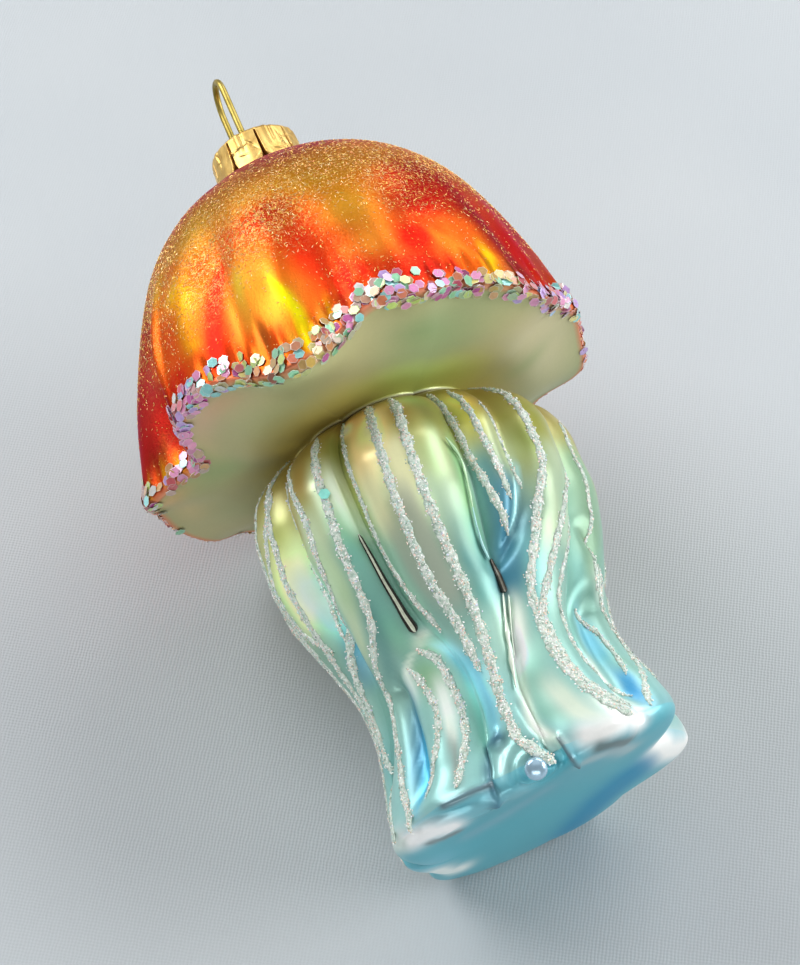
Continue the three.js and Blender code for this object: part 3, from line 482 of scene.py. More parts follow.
# the strokes are partly the lacquer's own tones and partly painted light: the white, pearl, cream, golden and ice
# strokes are painted highlights, and the deep teal and blue strokes in the hollows are in part painted shade
STROKES = [  # painted strokes down the arms: tone, half width mm, strength, path (height, angle)
    (lin(206, 210, 140), 3.2, 0.8, [(-14, -68), (-19, -70), (-24, -73)]), (lin(250, 252, 196), 3.0, 0.9, [(-20, -66), (-24, -70), (-28, -74), (-32, -78)]), (lin(206, 240, 214), 1.8, 0.8, [(-28, -66), (-31, -68), (-35, -72)]),
    (lin(108, 164, 186), 2.0, 0.85, [(-34, -66), (-37, -69), (-41, -76)]), (OLIVE_B, 1.6, 0.7, [(-12, -84), (-20, -92), (-28, -96)]),
    (OLIVE_B, 1.1, 0.7, [(-9, -60), (-16, -59), (-22, -58)]), (OLIVE_B, 1.6, 0.8, [(-8, -50), (-14, -49), (-18, -49)]),
    (lin(204, 222, 182), 1.8, 0.85, [(-20, -50), (-27, -52), (-34, -56), (-40, -66)]), (MINT, 1.3, 0.7, [(-14, -42), (-20, -42.5), (-27, -43)]),
    (lin(232, 246, 222), 0.8, 1.0, [(-15, -37.4), (-19, -38.2), (-23, -38.2), (-26, -37.4)]), (lin(126, 180, 146), 1.2, 0.7, [(-22, -42), (-26, -42), (-31, -42)]), (lin(126, 184, 168), 1.8, 0.9, [(-26, -42), (-33, -43), (-39, -45)]), (lin(176, 206, 160), 1.4, 0.8, [(-24, -52), (-29, -51), (-34, -53)]),
    (TEAL_D, 1.3, 0.5, [(-34, -47), (-40, -52), (-44, -60)]), (lin(150, 198, 170), 1.6, 0.8, [(-21, -30), (-27, -31), (-33, -31.5), (-39, -30)]),
    (OLIVE_G, 1.3, 0.85, [(-10, -34), (-16, -34), (-22, -33.5), (-26, -33)]), (BROWN_O, 2.2, 0.7, [(-7, -22), (-10, -20), (-13, -19)]),
    (BROWN_O, 1.6, 0.6, [(-7, -8), (-11, -7), (-14, -7)]), (GOLDEN, 1.7, 1.0, [(-12.5, -24), (-17, -25), (-21, -26)]),
    (lin(250, 232, 172), 1.8, 0.9, [(-10.5, -16), (-14, -17), (-19, -17)]), (CREAM, 1.6, 0.8, [(-19, -26), (-23, -26.5), (-28, -27)]),
    (CREAM, 1.6, 0.85, [(-16, -13), (-20, -14), (-24, -15)]), (GREY_P, 1.8, 0.7, [(-23, -17), (-28, -17), (-34, -17), (-40, -17)]), (lin(182, 210, 182), 1.4, 0.7, [(-24, -8), (-30, -9), (-37, -9)]),
    (GREY_P, 1.2, 0.5, [(-27, -25), (-33, -25), (-38, -23)]), (LEAF, 1.2, 0.85, [(-17, 8), (-22, 5), (-28, 2.5), (-34, 0)]),
    (OLIVE_G, 1.7, 0.8, [(-9, 5), (-14, 4), (-18, 2)]), (lin(200, 228, 176), 1.1, 0.8, [(-17, 0.5), (-21, -2), (-25, -4)]), (lin(206, 228, 206), 0.9, 0.8, [(-25, -4), (-30, -5.5), (-36, -6.5), (-42, -7.5)]), (TEAL, 1.0, 0.8, [(-30, 1), (-36, -0.5), (-42, -4)]),
    (lin(176, 222, 206), 1.2, 0.7, [(-38, -3), (-44, -8), (-49, -11)]), (lin(190, 224, 204), 1.6, 0.8, [(-41, 2), (-44, 0), (-47, -2)]),
    (OLIVE_B, 3.4, 0.8, [(-8, 30), (-12, 28), (-15, 26)]), (lin(178, 182, 92), 2.0, 0.9, [(-10, 17), (-14, 18), (-19, 17)]), (OLIVE_G, 1.3, 0.8, [(-12, 9), (-16, 10), (-20, 10)]),
    (SAGE_L, 1.8, 0.7, [(-17, 24), (-21, 22), (-25, 22)]), (TEAL_D, 2.2, 0.9, [(-21, 14), (-26, 13), (-30, 13), (-35, 11), (-39, 8)]),
    (BLUE_D, 2.2, 0.85, [(-25, 21), (-30, 18), (-35, 13), (-38, 9), (-41, 7)]), (lin(84, 140, 152), 1.2, 0.7, [(-30, 25), (-34, 19), (-38, 12)]), (lin(150, 158, 84), 1.1, 0.75, [(-18, 32), (-22, 30.5), (-26, 28.5)]),
    (ICE, 0.40, 1.0, [(-24.5, 26.6), (-27.5, 24), (-30, 20.8), (-32.4, 17.2)]),
    (OLIVE_B, 3.2, 0.85, [(-9, 52), (-13, 48), (-18, 43)]), (lin(164, 164, 72), 2.8, 0.95, [(-13, 43), (-18, 42), (-22, 40)]), (SAGE_L, 2.0, 0.8, [(-22, 39), (-26, 38), (-31, 34), (-36, 28)]),
    (MINT, 1.5, 0.7, [(-18, 57), (-24, 52), (-30, 46), (-36, 38)]), (AQUA, 1.4, 0.6, [(-34, 20), (-40, 17), (-46, 14)]),
    (OLIVE_B, 1.6, 0.8, [(-13, 76), (-20, 78), (-27, 78)]), (lin(142, 182, 148), 3.0, 0.9, [(-20, 70), (-26, 68), (-34, 64), (-40, 58)]),
    (PEARL_HIGHLIGHT, 1.4, 0.8, [(-38, 62), (-41, 61), (-43, 60)]), (TEAL, 1.2, 0.7, [(-36, 52), (-42, 46), (-48, 38)]),
    (PEARL_HIGHLIGHT, 0.9, 1.0, [(-40.4, -35.2), (-41.8, -36.4)]), (LEAF, 1.2, 0.85, [(-41.5, -36), (-43, -33), (-44.5, -30)]),
    (LEAF, 1.8, 0.7, [(-44, -42), (-46, -40), (-49, -39)]), (ICE, 1.1, 0.95, [(-42.3, -33), (-43.3, -30), (-44.8, -26.5), (-46, -24)]),
    (PEARL_HIGHLIGHT, 0.9, 0.9, [(-42.2, -38.5), (-42.8, -44), (-44.2, -49), (-47.5, -51)]),
    (lin(122, 196, 212), 1.4, 0.95, [(-44.5, -27), (-47, -23), (-50, -22), (-54, -23), (-57, -25)]),
    (lin(240, 250, 240), 1.1, 0.95, [(-47, -37.5), (-50, -39), (-53, -40)]), (PEARL_HIGHLIGHT, 0.6, 0.95, [(-51.5, -41), (-53.5, -41.5), (-55.5, -42)]),
    (lin(146, 158, 150), 0.7, 0.85, [(-54, -42.5), (-57, -43.5), (-60, -45)]), (lin(136, 194, 176), 1.4, 0.7, [(-50, -30), (-54, -31), (-58, -33)]),
    (BLUE_D, 1.5, 1.0, [(-46, -55.5), (-50, -59), (-54, -61.5), (-58, -63)]), (lin(70, 188, 226), 0.8, 0.95, [(-51.5, -57), (-54, -58.5), (-57, -60.5), (-60.5, -65)]),
    (PEARL_HIGHLIGHT, 1.0, 1.0, [(-41.5, 6.5), (-44, 5), (-47.5, 1.5), (-51, -2), (-54, -4.2), (-57, -5.5), (-60, -1.5), (-61.4, 1)]),
    (lin(150, 206, 186), 1.6, 0.8, [(-48, 7), (-51, 3), (-56, 2), (-59, 6)]), (lin(226, 236, 216), 1.6, 0.9, [(-53, 7), (-55.5, 9), (-58.5, 12), (-61, 18)]),
    (lin(226, 232, 216), 2.2, 0.7, [(-57, 20), (-59.5, 25), (-61.5, 30)]),
    (lin(152, 222, 232), 0.8, 0.9, [(-44, 46), (-48, 44), (-51, 42.5)]), (lin(84, 172, 196), 1.2, 0.9, [(-46, 48), (-50, 46.5), (-54, 45.5)]),
    (BLUE_B, 1.0, 0.9, [(-54.5, 46.5), (-56.5, 46), (-58.5, 45), (-60.5, 45)]), (PEARL_HIGHLIGHT, 0.5, 0.9, [(-52, 38.5), (-55, 37), (-58, 37), (-60, 40)]),
    (CREAM, 2.4, 0.7, [(-14, 118), (-22, 120), (-30, 122)]), (PEARL_HIGHLIGHT, 1.2, 0.8, [(-20, 152), (-30, 158), (-42, 160)]), (CREAM, 2.2, 0.7, [(-15, -168), (-24, -166), (-32, -164)]),
    (PEARL_HIGHLIGHT, 1.2, 0.8, [(-22, -128), (-32, -134), (-44, -140)]), (BLUE_D, 1.6, 0.8, [(-40, 108), (-47, 106), (-55, 104)]), (BLUE_D, 1.6, 0.8, [(-42, 176), (-50, 174), (-58, 176)]),
    (BLUE_B, 1.4, 0.8, [(-44, -120), (-52, -124), (-60, -128)]), (lin(84, 172, 196), 1.6, 0.8, [(-34, -104), (-42, -108), (-50, -112)])]
STROKE_PATHS = [(tone, w, k, curve(path), max(z for z, _ in path), min(z for z, _ in path)) for tone, w, k, path in STROKES]


def sector(phi, z):
    """Share across the arm that holds a point, 0 and 1 at its creases, and the arm's number."""
    g0 = crease[0](z)
    p = (phi - g0) % 360.0
    at = [np.zeros_like(p)] + [(c(z) - g0) % 360.0 for c in crease[1:]] + [np.full_like(p, 360.0)]
    share, arm = np.zeros_like(p), np.zeros_like(p)
    for i in range(len(crease)):
        inside = (p >= at[i]) & (p < at[i + 1])
        share = np.where(inside, (p - at[i]) / np.maximum(at[i + 1] - at[i], 1e-6), share)
        arm = np.where(inside, i, arm)
    return share, arm


# tone factors on the arms, partly corrections of their tone and partly painted light and painted shade: factor rgb,
# angle, height, half width in mm, half length in mm
ARM_TONE_AND_LIGHT_FACTORS = [((1.25, 1.4, 1.0), -74, -26, 3.4, 4.0), ((1.5, 1.4, 1.25), -18, -13.4, 2.0, 2.6), ((1.4, 1.3, 1.0), 18, -16, 1.6, 3.0), ((1.4, 1.3, 1.4), 9, -27, 1.5, 3.5),
             ((0.84, 0.92, 0.78), -5, -24, 1.2, 6.0), ((0.86, 0.88, 0.62), 43, -18, 2.2, 3.0), ((0.84, 0.9, 0.95), 38, -28, 1.6, 4.0), ((0.86, 0.84, 0.84), 64, -31, 2.4, 5.0),
             ((1.0, 0.9, 0.72), 48, -54, 1.6, 3.0), ((1.25, 1.2, 1.25), -50, -28, 2.0, 4.0), ((0.9, 0.94, 0.68), -69, -19, 2.4, 2.6), ((1.2, 1.2, 1.2), -42, -26, 1.2, 4.0),
             ((0.85, 0.9, 0.88), 14, -54, 2.4, 3.5), ((0.9, 0.82, 0.64), -48, -14, 2.0, 2.5),
             ((1.5, 1.33, 1.2), -18, -13.6, 2.0, 2.6), ((1.15, 1.28, 1.05), -74, -28, 3.4, 4.0), ((0.74, 0.93, 0.84), -39, -25, 1.2, 4.0), ((1.2, 1.2, 1.2), 18, -16, 1.6, 3.0),
             ((1.25, 1.15, 1.25), -5, -24.0, 1.2, 2.6), ((0.82, 0.86, 0.84), -5, -32, 1.4, 4.0), ((1.25, 1.25, 1.25), -36, -21, 1.4, 3.0), ((1.2, 1.2, 1.2), -17, -51, 1.6, 6.0),
             ((1.2, 1.2, 1.2), -32, -43.6, 1.4, 3.0), ((1.0, 1.15, 1.0), -44, -40, 1.6, 3.0), ((1.12, 1.12, 1.12), -40, -52, 2.0, 3.0),
             ((0.7, 0.82, 0.85), -5, -31, 1.3, 2.5), ((0.4, 0.6, 0.66), -6, -35, 1.4, 3.2), ((0.45, 0.68, 0.7), -6.5, -39.5, 1.4, 2.6), ((1.45, 1.4, 1.3), -12, -26.6, 1.2, 3.0),
             ((1.22, 1.38, 1.8), -67, -28.5, 2.8, 4.0), ((0.8, 0.9, 0.86), -65, -21.5, 2.0, 2.4), ((1.05, 1.2, 1.3), -70, -33, 2.0, 2.4), ((2.2, 2.2, 2.8), -28, -10.2, 1.6, 1.6),
             ((1.5, 1.5, 1.7), -13, -10, 2.0, 1.8), ((1.5, 1.8, 2.3), -2, -9.6, 2.0, 2.0), ((1.75, 1.65, 2.0), 19, -11.4, 2.0, 2.0), ((0.9, 0.84, 0.55), 30, -17, 1.5, 2.6),
             ((0.68, 0.72, 0.5), 34, -21.4, 1.2, 3.0), ((0.7, 0.76, 0.8), 31, -30.2, 1.3, 3.0), ((0.42, 0.56, 0.52), 54, -42.8, 1.4, 2.2), ((1.35, 1.33, 1.4), -16, -50.5, 1.6, 3.6),
             ((1.55, 1.5, 1.45), -28, -49.6, 1.6, 3.0), ((0.72, 0.83, 0.88), -92, -50, 2.0, 3.0), ((1.6, 1.4, 1.45), 3, -48.2, 1.7, 2.4),
             ((1.02, 1.36, 1.2), -67, -28.5, 2.8, 4.0), ((0.62, 0.8, 0.84), -6, -36, 1.3, 3.2), ((1.45, 1.36, 1.3), -11.5, -26.6, 1.2, 3.0), ((1.5, 1.6, 2.4), -28, -10.2, 1.6, 1.6),
             ((1.2, 1.25, 1.6), 6, -10.4, 5.0, 1.8), ((1.5, 1.3, 1.2), 21.5, -12.6, 1.2, 2.0), ((0.84, 0.86, 0.64), 34, -21.4, 1.2, 3.0), ((0.6, 0.74, 0.72), 54, -42.8, 1.4, 2.2),
             ((1.3, 1.25, 1.28), -16, -50.5, 1.6, 3.6), ((1.35, 1.4, 1.4), 1, -49, 1.3, 2.0), ((1.1, 1.14, 1.15), -49, -48, 1.6, 3.0), ((0.9, 1.18, 1.2), -70, -36, 1.6, 2.6),
             ((1.4, 1.35, 1.8), -28, -10.2, 1.6, 1.6), ((1.0, 1.18, 1.25), -2, -9.6, 2.0, 1.8), ((0.84, 0.76, 0.86), 3, -13.4, 1.4, 2.0), ((1.35, 1.25, 1.1), 21.5, -12.6, 1.2, 2.0),
             ((1.18, 1.22, 1.35), 29, -22.2, 1.0, 2.0), ((0.84, 0.87, 0.66), 34.5, -21.4, 1.1, 3.0)]
# a painted highlight tint on the left arm's bulge
ARM_HIGHLIGHT_TINT = [((0.80, 1.0, 0.84), -67, -28.0, 3.0, 4.0), ((0.90, 1.0, 0.95), -71, -33.0, 2.2, 2.6)]   # kept green where the tone is full


def arm_paint(phi, z):
    phi, z = np.broadcast_arrays(np.asarray(phi, float), np.asarray(z, float))
    zz = z + 2.5 * waves(phi, z / 60, 31)
    c = np.stack([f(zz) for f in tone_r], -1)
    share, arm = sector(phi, z)
    edge = np.abs(2 * share - 1)
    # teal towards the creases is partly the lacquer's teal and partly painted shade; the darker olive in the creases
    # near the root is painted shade
    c = mix(c, TEAL, 0.4 * step(0.66, 1.0, edge) * step(-14, -26, z))
    c = mix(c, lin(140, 118, 56), 0.6 * step(0.6, 1.0, edge) * (1 - step(-10, -24, z)))
    for tone, w, k, path, z0, z1 in STROKE_PATHS:
        across = np.radians(wrap(phi - path(z))) * bundle_r(z)
        soft = min(2.6, 0.5 + 0.28 * (z0 - z1))
        ends = (1 - step(z0 - soft, z0 + soft, z)) * step(z1 - soft, z1 + soft, z)
        c = mix(c, tone, k * ends * np.minimum(1, 1.15 * gauss(across, 0, w)))
    # lighter beside the creases lower down: painted light lifting their shade
    c = c * (1 + 0.18 * step(0.6, 1.0, edge) * step(-12, -20, z))[..., None]
    for table in (ARM_TONE_AND_LIGHT_FACTORS, ARM_HIGHLIGHT_TINT):
        for f, a, h, w, l in table:
            c = c * (1 + (np.array(f) - 1) * (gauss(np.radians(wrap(phi - a)) * bundle_r(z), 0, w) * gauss(z, h, l))[..., None])
        c = np.clip(c, 0, 1)
    return c


def foot_paint(phi, q):
    c = mix(lin(118, 196, 206), lin(84, 174, 190), step(0.0, 0.25, q))
    return mix(c, lin(86, 172, 186), 0.8 * gauss(q, 0.9, 0.5))


# the dabs are partly the foot's own tones and partly painted light and shade, marked one by one below
DABS = [  # painted dabs near the foot: tone, radius mm, strength, path in local mm
    (lin(124, 184, 196), 2.2, 0.8, [(-10.0, 11.6, -64.8), (-7.5, 12.4, -64.7), (-4.6, 12.6, -64.6)]),
    (lin(0, 140, 180), 4.0, 1.0, [(7, -13, -65), (10.0, -6.2, -64.7), (13.4, -2.9, -64.1), (16.3, -1.2, -63.6)]),
    (lin(112, 186, 204), 2.4, 0.6, [(-17.2, -4.8, -65.5), (-14.7, -1.8, -65.8)]),
    (lin(134, 178, 194), 1.6, 0.5, [(-10.8, 3.0, -65.3), (-6.1, 4.4, -65.1), (0, 8, -65)]),
    (lin(172, 196, 200), 1.8, 0.8, [(5, 14.5, -64.4), (9, 13, -64), (12, 9, -63.6)]),
    # painted highlight along the left lip, and painted shade beneath it
    (lin(254, 255, 254), 1.9, 1.0, [(-19.2, 4.6, -63.6), (-17.6, 6.6, -64.2), (-16.1, 7.9, -64.5), (-13.8, 8.6, -64.8)]),
    (lin(120, 132, 134), 0.7, 0.9, [(-16.5, 5.0, -64.9), (-14.5, 5.5, -65.1), (-12.8, 6.2, -65.1)]),
    # painted highlight on the lip's left end
    (lin(222, 232, 222), 1.4, 0.8, [(-18.7, -2.8, -59.9), (-20.2, 0.4, -62.4), (-20.1, 3.0, -63.2)]),
    # painted highlight along the right lobe's edge, and painted shade beneath it
    (lin(254, 255, 252), 1.8, 1.0, [(4.8, 18.9, -62.2), (6.3, 18.8, -62.6), (8.5, 18.7, -62.4), (11.4, 17.8, -61.8), (13.0, 15.4, -62.0)]),
    (lin(96, 116, 118), 1.2, 0.95, [(6.1, 17.2, -64.0), (8.5, 16.0, -63.9), (10.9, 13.5, -63.5)]),
    # painted highlights on the back right tip and on the bottom tip
    (lin(254, 255, 252), 2.3, 1.0, [(18.2, 2.6, -62.2), (19.4, 0.6, -62.0), (20.6, -2.6, -62.2), (23.2, -5.3, -62.0), (25.2, -6.6, -60.8)]),
    (lin(240, 248, 244), 2.0, 0.95, [(-14.4, -6.8, -66.0), (-12.6, -9.2, -66.2), (-11.3, -8.8, -66.3)]),
    # painted shade in the Y crease and its branches, and a painted highlight on the ridge beside it
    (lin(60, 110, 134), 0.8, 0.85, [(-4.82, 14.58, -57.46), (-6.0, 12.6, -58.1), (-7.6, 12.95, -60.5), (-8.3, 13.1, -62.8), (-8.06, 11.9, -64.9)]),
    (lin(104, 122, 130), 0.5, 0.85, [(-8.3, 13.1, -62.78), (-10.64, 13.28, -62.7), (-12.75, 12.89, -62.9), (-14.79, 11.92, -62.86)]),
    (lin(96, 112, 120), 0.4, 0.85, [(1.78, 17.08, -61.02), (2.21, 16.91, -63.82), (2.94, 15.37, -64.5)]),
    (lin(196, 232, 232), 0.6, 0.8, [(-5.0, 15.6, -58.4), (-6.0, 14.4, -60.4), (-6.2, 13.6, -62.6)])]


BEAD = np.array([-2.40, 16.10, -63.35])
GROOVES = [   # depth, half width in mm, path in local mm
    (0.7, 0.75, [(-4.82, 14.58, -57.46), (-6.0, 12.6, -58.1), (-7.6, 12.95, -60.5), (-8.3, 13.1, -62.8), (-8.06, 11.9, -64.9)]),
    (0.7, 0.75, [(-8.3, 13.1, -62.78), (-10.64, 13.28, -62.7), (-12.75, 12.89, -62.9), (-14.79, 11.92, -62.86)]),
    (0.80, 0.40, [(1.78, 17.08, -61.02), (1.92, 17.1, -62.0), (2.21, 16.91, -63.82), (2.94, 15.37, -64.5)]),
    (0.25, 0.35, [(-15.5, 6.2, -64.7), (-12.2, 9.6, -65.1), (-8.8, 10.6, -65.0)])]
RIDGES = [
    (0.40, 0.9, [(-3.97, 15.05, -58.08), (-5.64, 14.33, -59.31), (-6.3, 13.9, -61.14), (-6.3, 13.0, -63.54)]),
    (0.8, 1.0, [(-20.07, 3.77, -63.54), (-18.3, 7.7, -63.3), (-16.74, 10.01, -63.4), (-14.62, 11.4, -63.9), (-11.4, 12.2, -64.2)]),
    (0.40, 1.1, [(4.2, 18.0, -62.8), (7.73, 18.6, -62.9), (10.79, 17.6, -62.6), (14.0, 15.5, -62.0)]),
    (0.30, 0.5, [(-1.28, 16.0, -54.78), (-0.88, 16.01, -57.8), (0.34, 16.3, -60.78), (1.32, 16.55, -62.99)])]


def off_path(p, path):
    """Distance in mm from points to a broken line."""
    path = np.array(path, float)
    best = np.full(len(p), 1e9)
    for a, b in zip(path[:-1], path[1:]):
        ab = b - a
        t = np.clip(((p - a) @ ab) / (ab @ ab), 0, 1)
        best = np.minimum(best, np.linalg.norm(p - a - t[:, None] * ab, axis=1))
    return best


def relief(p):
    """How far the glass near the foot stands out of its plain shape, mm."""
    h = np.zeros(len(p))
    m = p[:, 2] < -52
    q = p[m]
    v = np.zeros(len(q))
    for d, w, path in GROOVES:
        v -= d * np.exp(-(off_path(q, path) / w) ** 2)
    for d, w, path in RIDGES:
        v += d * np.exp(-(off_path(q, path) / w) ** 2)
    d = np.linalg.norm(q - BEAD, axis=1)
    v += 0.55 * np.exp(-(d / 4.0) ** 4) + 0.28 * np.exp(-((d - 3.4) / 0.45) ** 2) - 0.25 * np.exp(-((d - 2.5) / 0.4) ** 2)
    h[m] = v
    return h


def skin_at(phi, z):
    """Plain glass and its normal at angle phi and height z; below the foot's edge it goes on round the foot's end."""
    phi, z = np.broadcast_arrays(np.asarray(phi, float), np.asarray(z, float))
    q = np.clip((END_Z - z) / 9.0, 0, 0.6)
    on_foot = (z < END_Z)[..., None]
    p = np.where(on_foot, foot(phi, np.maximum(q, 0.002)), arms(phi, np.maximum(z, END_Z)))
    n = np.where(on_foot, normals(foot, phi, np.maximum(q, 0.02), db=0.01), -normals(arms, phi, np.clip(z, END_Z, ROOT_Z - 0.1), db=0.08))
    return p, n


def on_glass(phi, z, lift=0.0):
    """A point lift mm above the finished glass, with its normal."""
    p, n = skin_at(phi, z)
    shape = p.shape
    h = relief(p.reshape(-1, 3)).reshape(shape[:-1])
    return p + n * (h + lift)[..., None], n


cols = columns(0.80)
n_cols = len(cols)
root_phi = column_phi(cols, ROOT_Z)
rows, paint, kind, frost = [], [], [], []
ang = np.radians(root_phi)


def neck_ring(r, z):
    return np.stack([NECK_X + r * np.sin(ang), r * np.cos(ang), np.full(n_cols, float(z))], -1)


for r, z in [(0.6, NECK_TOP), (NECK_R - 0.5, NECK_TOP), (NECK_R, NECK_TOP - 0.5), (NECK_R, 42.0)]:
    rows.append(neck_ring(r, z)); paint.append(dome_paint(root_phi, np.zeros(n_cols))); kind.append(0); frost.append(np.zeros(n_cols))
for t in np.concatenate([np.linspace(0, 0.7, 46)[:-1], np.linspace(0.7, 1.0, 50)]):
    rows.append(bell(root_phi, np.full(n_cols, t))); paint.append(dome_paint(root_phi, np.full(n_cols, t))); kind.append(0); frost.append(frost_share(root_phi, np.full(n_cols, t)))
for q in [0.004, 0.012, 0.025, 0.045, 0.07, 0.1, 0.14, 0.19, 0.25, 0.32, 0.4, 0.48, 0.56, 0.64, 0.72, 0.8, 0.86, 0.90, 0.93, 0.95, 0.965, 0.98, 0.992]:
    rows.append(under(root_phi, np.full(n_cols, q))); paint.append(under_paint(root_phi, np.full(n_cols, q))); kind.append(1)
for z in np.concatenate([[ROOT_Z], np.linspace(-6.6, END_Z, 108)]):
    ph = column_phi(cols, z)
    rows.append(arms(ph, np.full(n_cols, z))); paint.append(arm_paint(ph, np.full(n_cols, z))); kind.append(2)
end_phi = column_phi(cols, END_Z)
for q in np.concatenate([np.linspace(0, 0.5, 30)[1:], np.linspace(0.5, 0.97, 18)[1:]]):
    rows.append(foot(end_phi, np.full(n_cols, q))); paint.append(foot_paint(end_phi, np.full(n_cols, q))); kind.append(2)

P = np.array(rows)
C = np.array(paint)
near_foot = P[..., 2] < -53
for tone, radius, k, path in DABS:
    C[near_foot] = mix(C[near_foot], tone, k * np.minimum(1, 1.15 * np.exp(-(off_path(P[near_foot], path) / radius) ** 2)))
n_rows = len(rows)
du, dv = np.roll(P, -1, 1) - np.roll(P, 1, 1), np.gradient(P, axis=0)
N = np.cross(dv, du)
N /= np.maximum(np.linalg.norm(N, axis=-1, keepdims=True), 1e-9)
first = next(i for i in range(n_rows) if kind[i] == 2)
low = P[first + 60:].reshape(-1, 3)
P[first + 60:] += N[first + 60:] * relief(low).reshape(n_rows - first - 60, n_cols, 1)
ridge = [i for i in range(first - 5, first + 2)]               # a thin glassy ridge where the arms leave the underside
for i in ridge:
    g = math.exp(-((i - (first - 1.6)) / 1.3) ** 2)
    # the pale tone painted along the ridge is a painted highlight on its crest; the next line raises the ridge itself
    C[i] = mix(C[i], lin(232, 236, 212), g * (0.55 + 0.35 * waves(root_phi, root_phi * 0, 71, n=9)))
    P[i] += (np.array([0, 0, -0.30]) + np.stack([np.sin(ang), np.cos(ang), 0 * ang], -1) * 0.55) * g
top_pole, end_pole = P[0].mean(0), P[-1].mean(0)
verts = place(np.concatenate([P.reshape(-1, 3), [top_pole, end_pole]]))
colour = np.concatenate([C.reshape(-1, 3), [C[0, 0], C[-1, 0]]])
frosting = np.zeros(len(colour)); frosting[:len(frost) * n_cols] = np.concatenate(frost)
j = np.arange(n_cols)
k = (j + 1) % n_cols
quads, face_kind = [], []
for i in range(n_rows - 1):
    quads.append(np.stack([i * n_cols + j, (i + 1) * n_cols + j, (i + 1) * n_cols + k, i * n_cols + k], -1))
    face_kind.append(np.full(n_cols, 2 if i >= first - 5 else max(kind[i], kind[i + 1])))
quads = np.concatenate(quads)
a_top, a_end = n_rows * n_cols, n_rows * n_cols + 1
tris = np.concatenate([np.stack([np.full(n_cols, a_top), j, k], -1),
                       np.stack([np.full(n_cols, a_end), (n_rows - 1) * n_cols + k, (n_rows - 1) * n_cols + j], -1)])
face_kind = np.concatenate([np.concatenate(face_kind), np.zeros(n_cols), np.full(n_cols, 2)])


# ---------------------------------------------------------------- materials
def material(name):
    m = bpy.data.materials.new(name)
    m.use_nodes = True
    nt = m.node_tree
    return m, nt, nt.nodes["Principled BSDF"]


def node(nt, kind, **sockets):
    n = nt.nodes.new(kind)
    for key, val in sockets.items():
        n.inputs[key.replace("_", " ")].default_value = val
    return n


def noise(nt, coord, scale, detail=3.0, rough=0.5):
    n = nt.nodes.new("ShaderNodeTexNoise")
    n.inputs["Scale"].default_value = scale
    n.inputs["Detail"].default_value = detail
    n.inputs["Roughness"].default_value = rough
    nt.links.new(coord, n.inputs["Vector"])
    return n


def ramp(nt, fac, stops):
    r = nt.nodes.new("ShaderNodeValToRGB")
    while len(r.color_ramp.elements) < len(stops):
        r.color_ramp.elements.new(0.5)
    for e, (p, c) in zip(r.color_ramp.elements, stops):
        e.position = p
        e.color = (*c, 1) if len(c) == 3 else c
    nt.links.new(fac, r.inputs["Fac"])
    return r


def blend_colour(nt, a, b, fac=1.0, mode="MULTIPLY"):
    m = nt.nodes.new("ShaderNodeMix")
    m.data_type = "RGBA"
    m.blend_type = mode
    for sock, val in ((m.inputs[6], a), (m.inputs[7], b), (m.inputs[0], fac)):
        if hasattr(val, "is_linked"):
            nt.links.new(val, sock)
        else:
            sock.default_value = val if not isinstance(val, tuple) else (*val, 1)
    return m.outputs[2]


def attribute(nt, name):
    a = nt.nodes.new("ShaderNodeAttribute")
    a.attribute_name = name
    return a


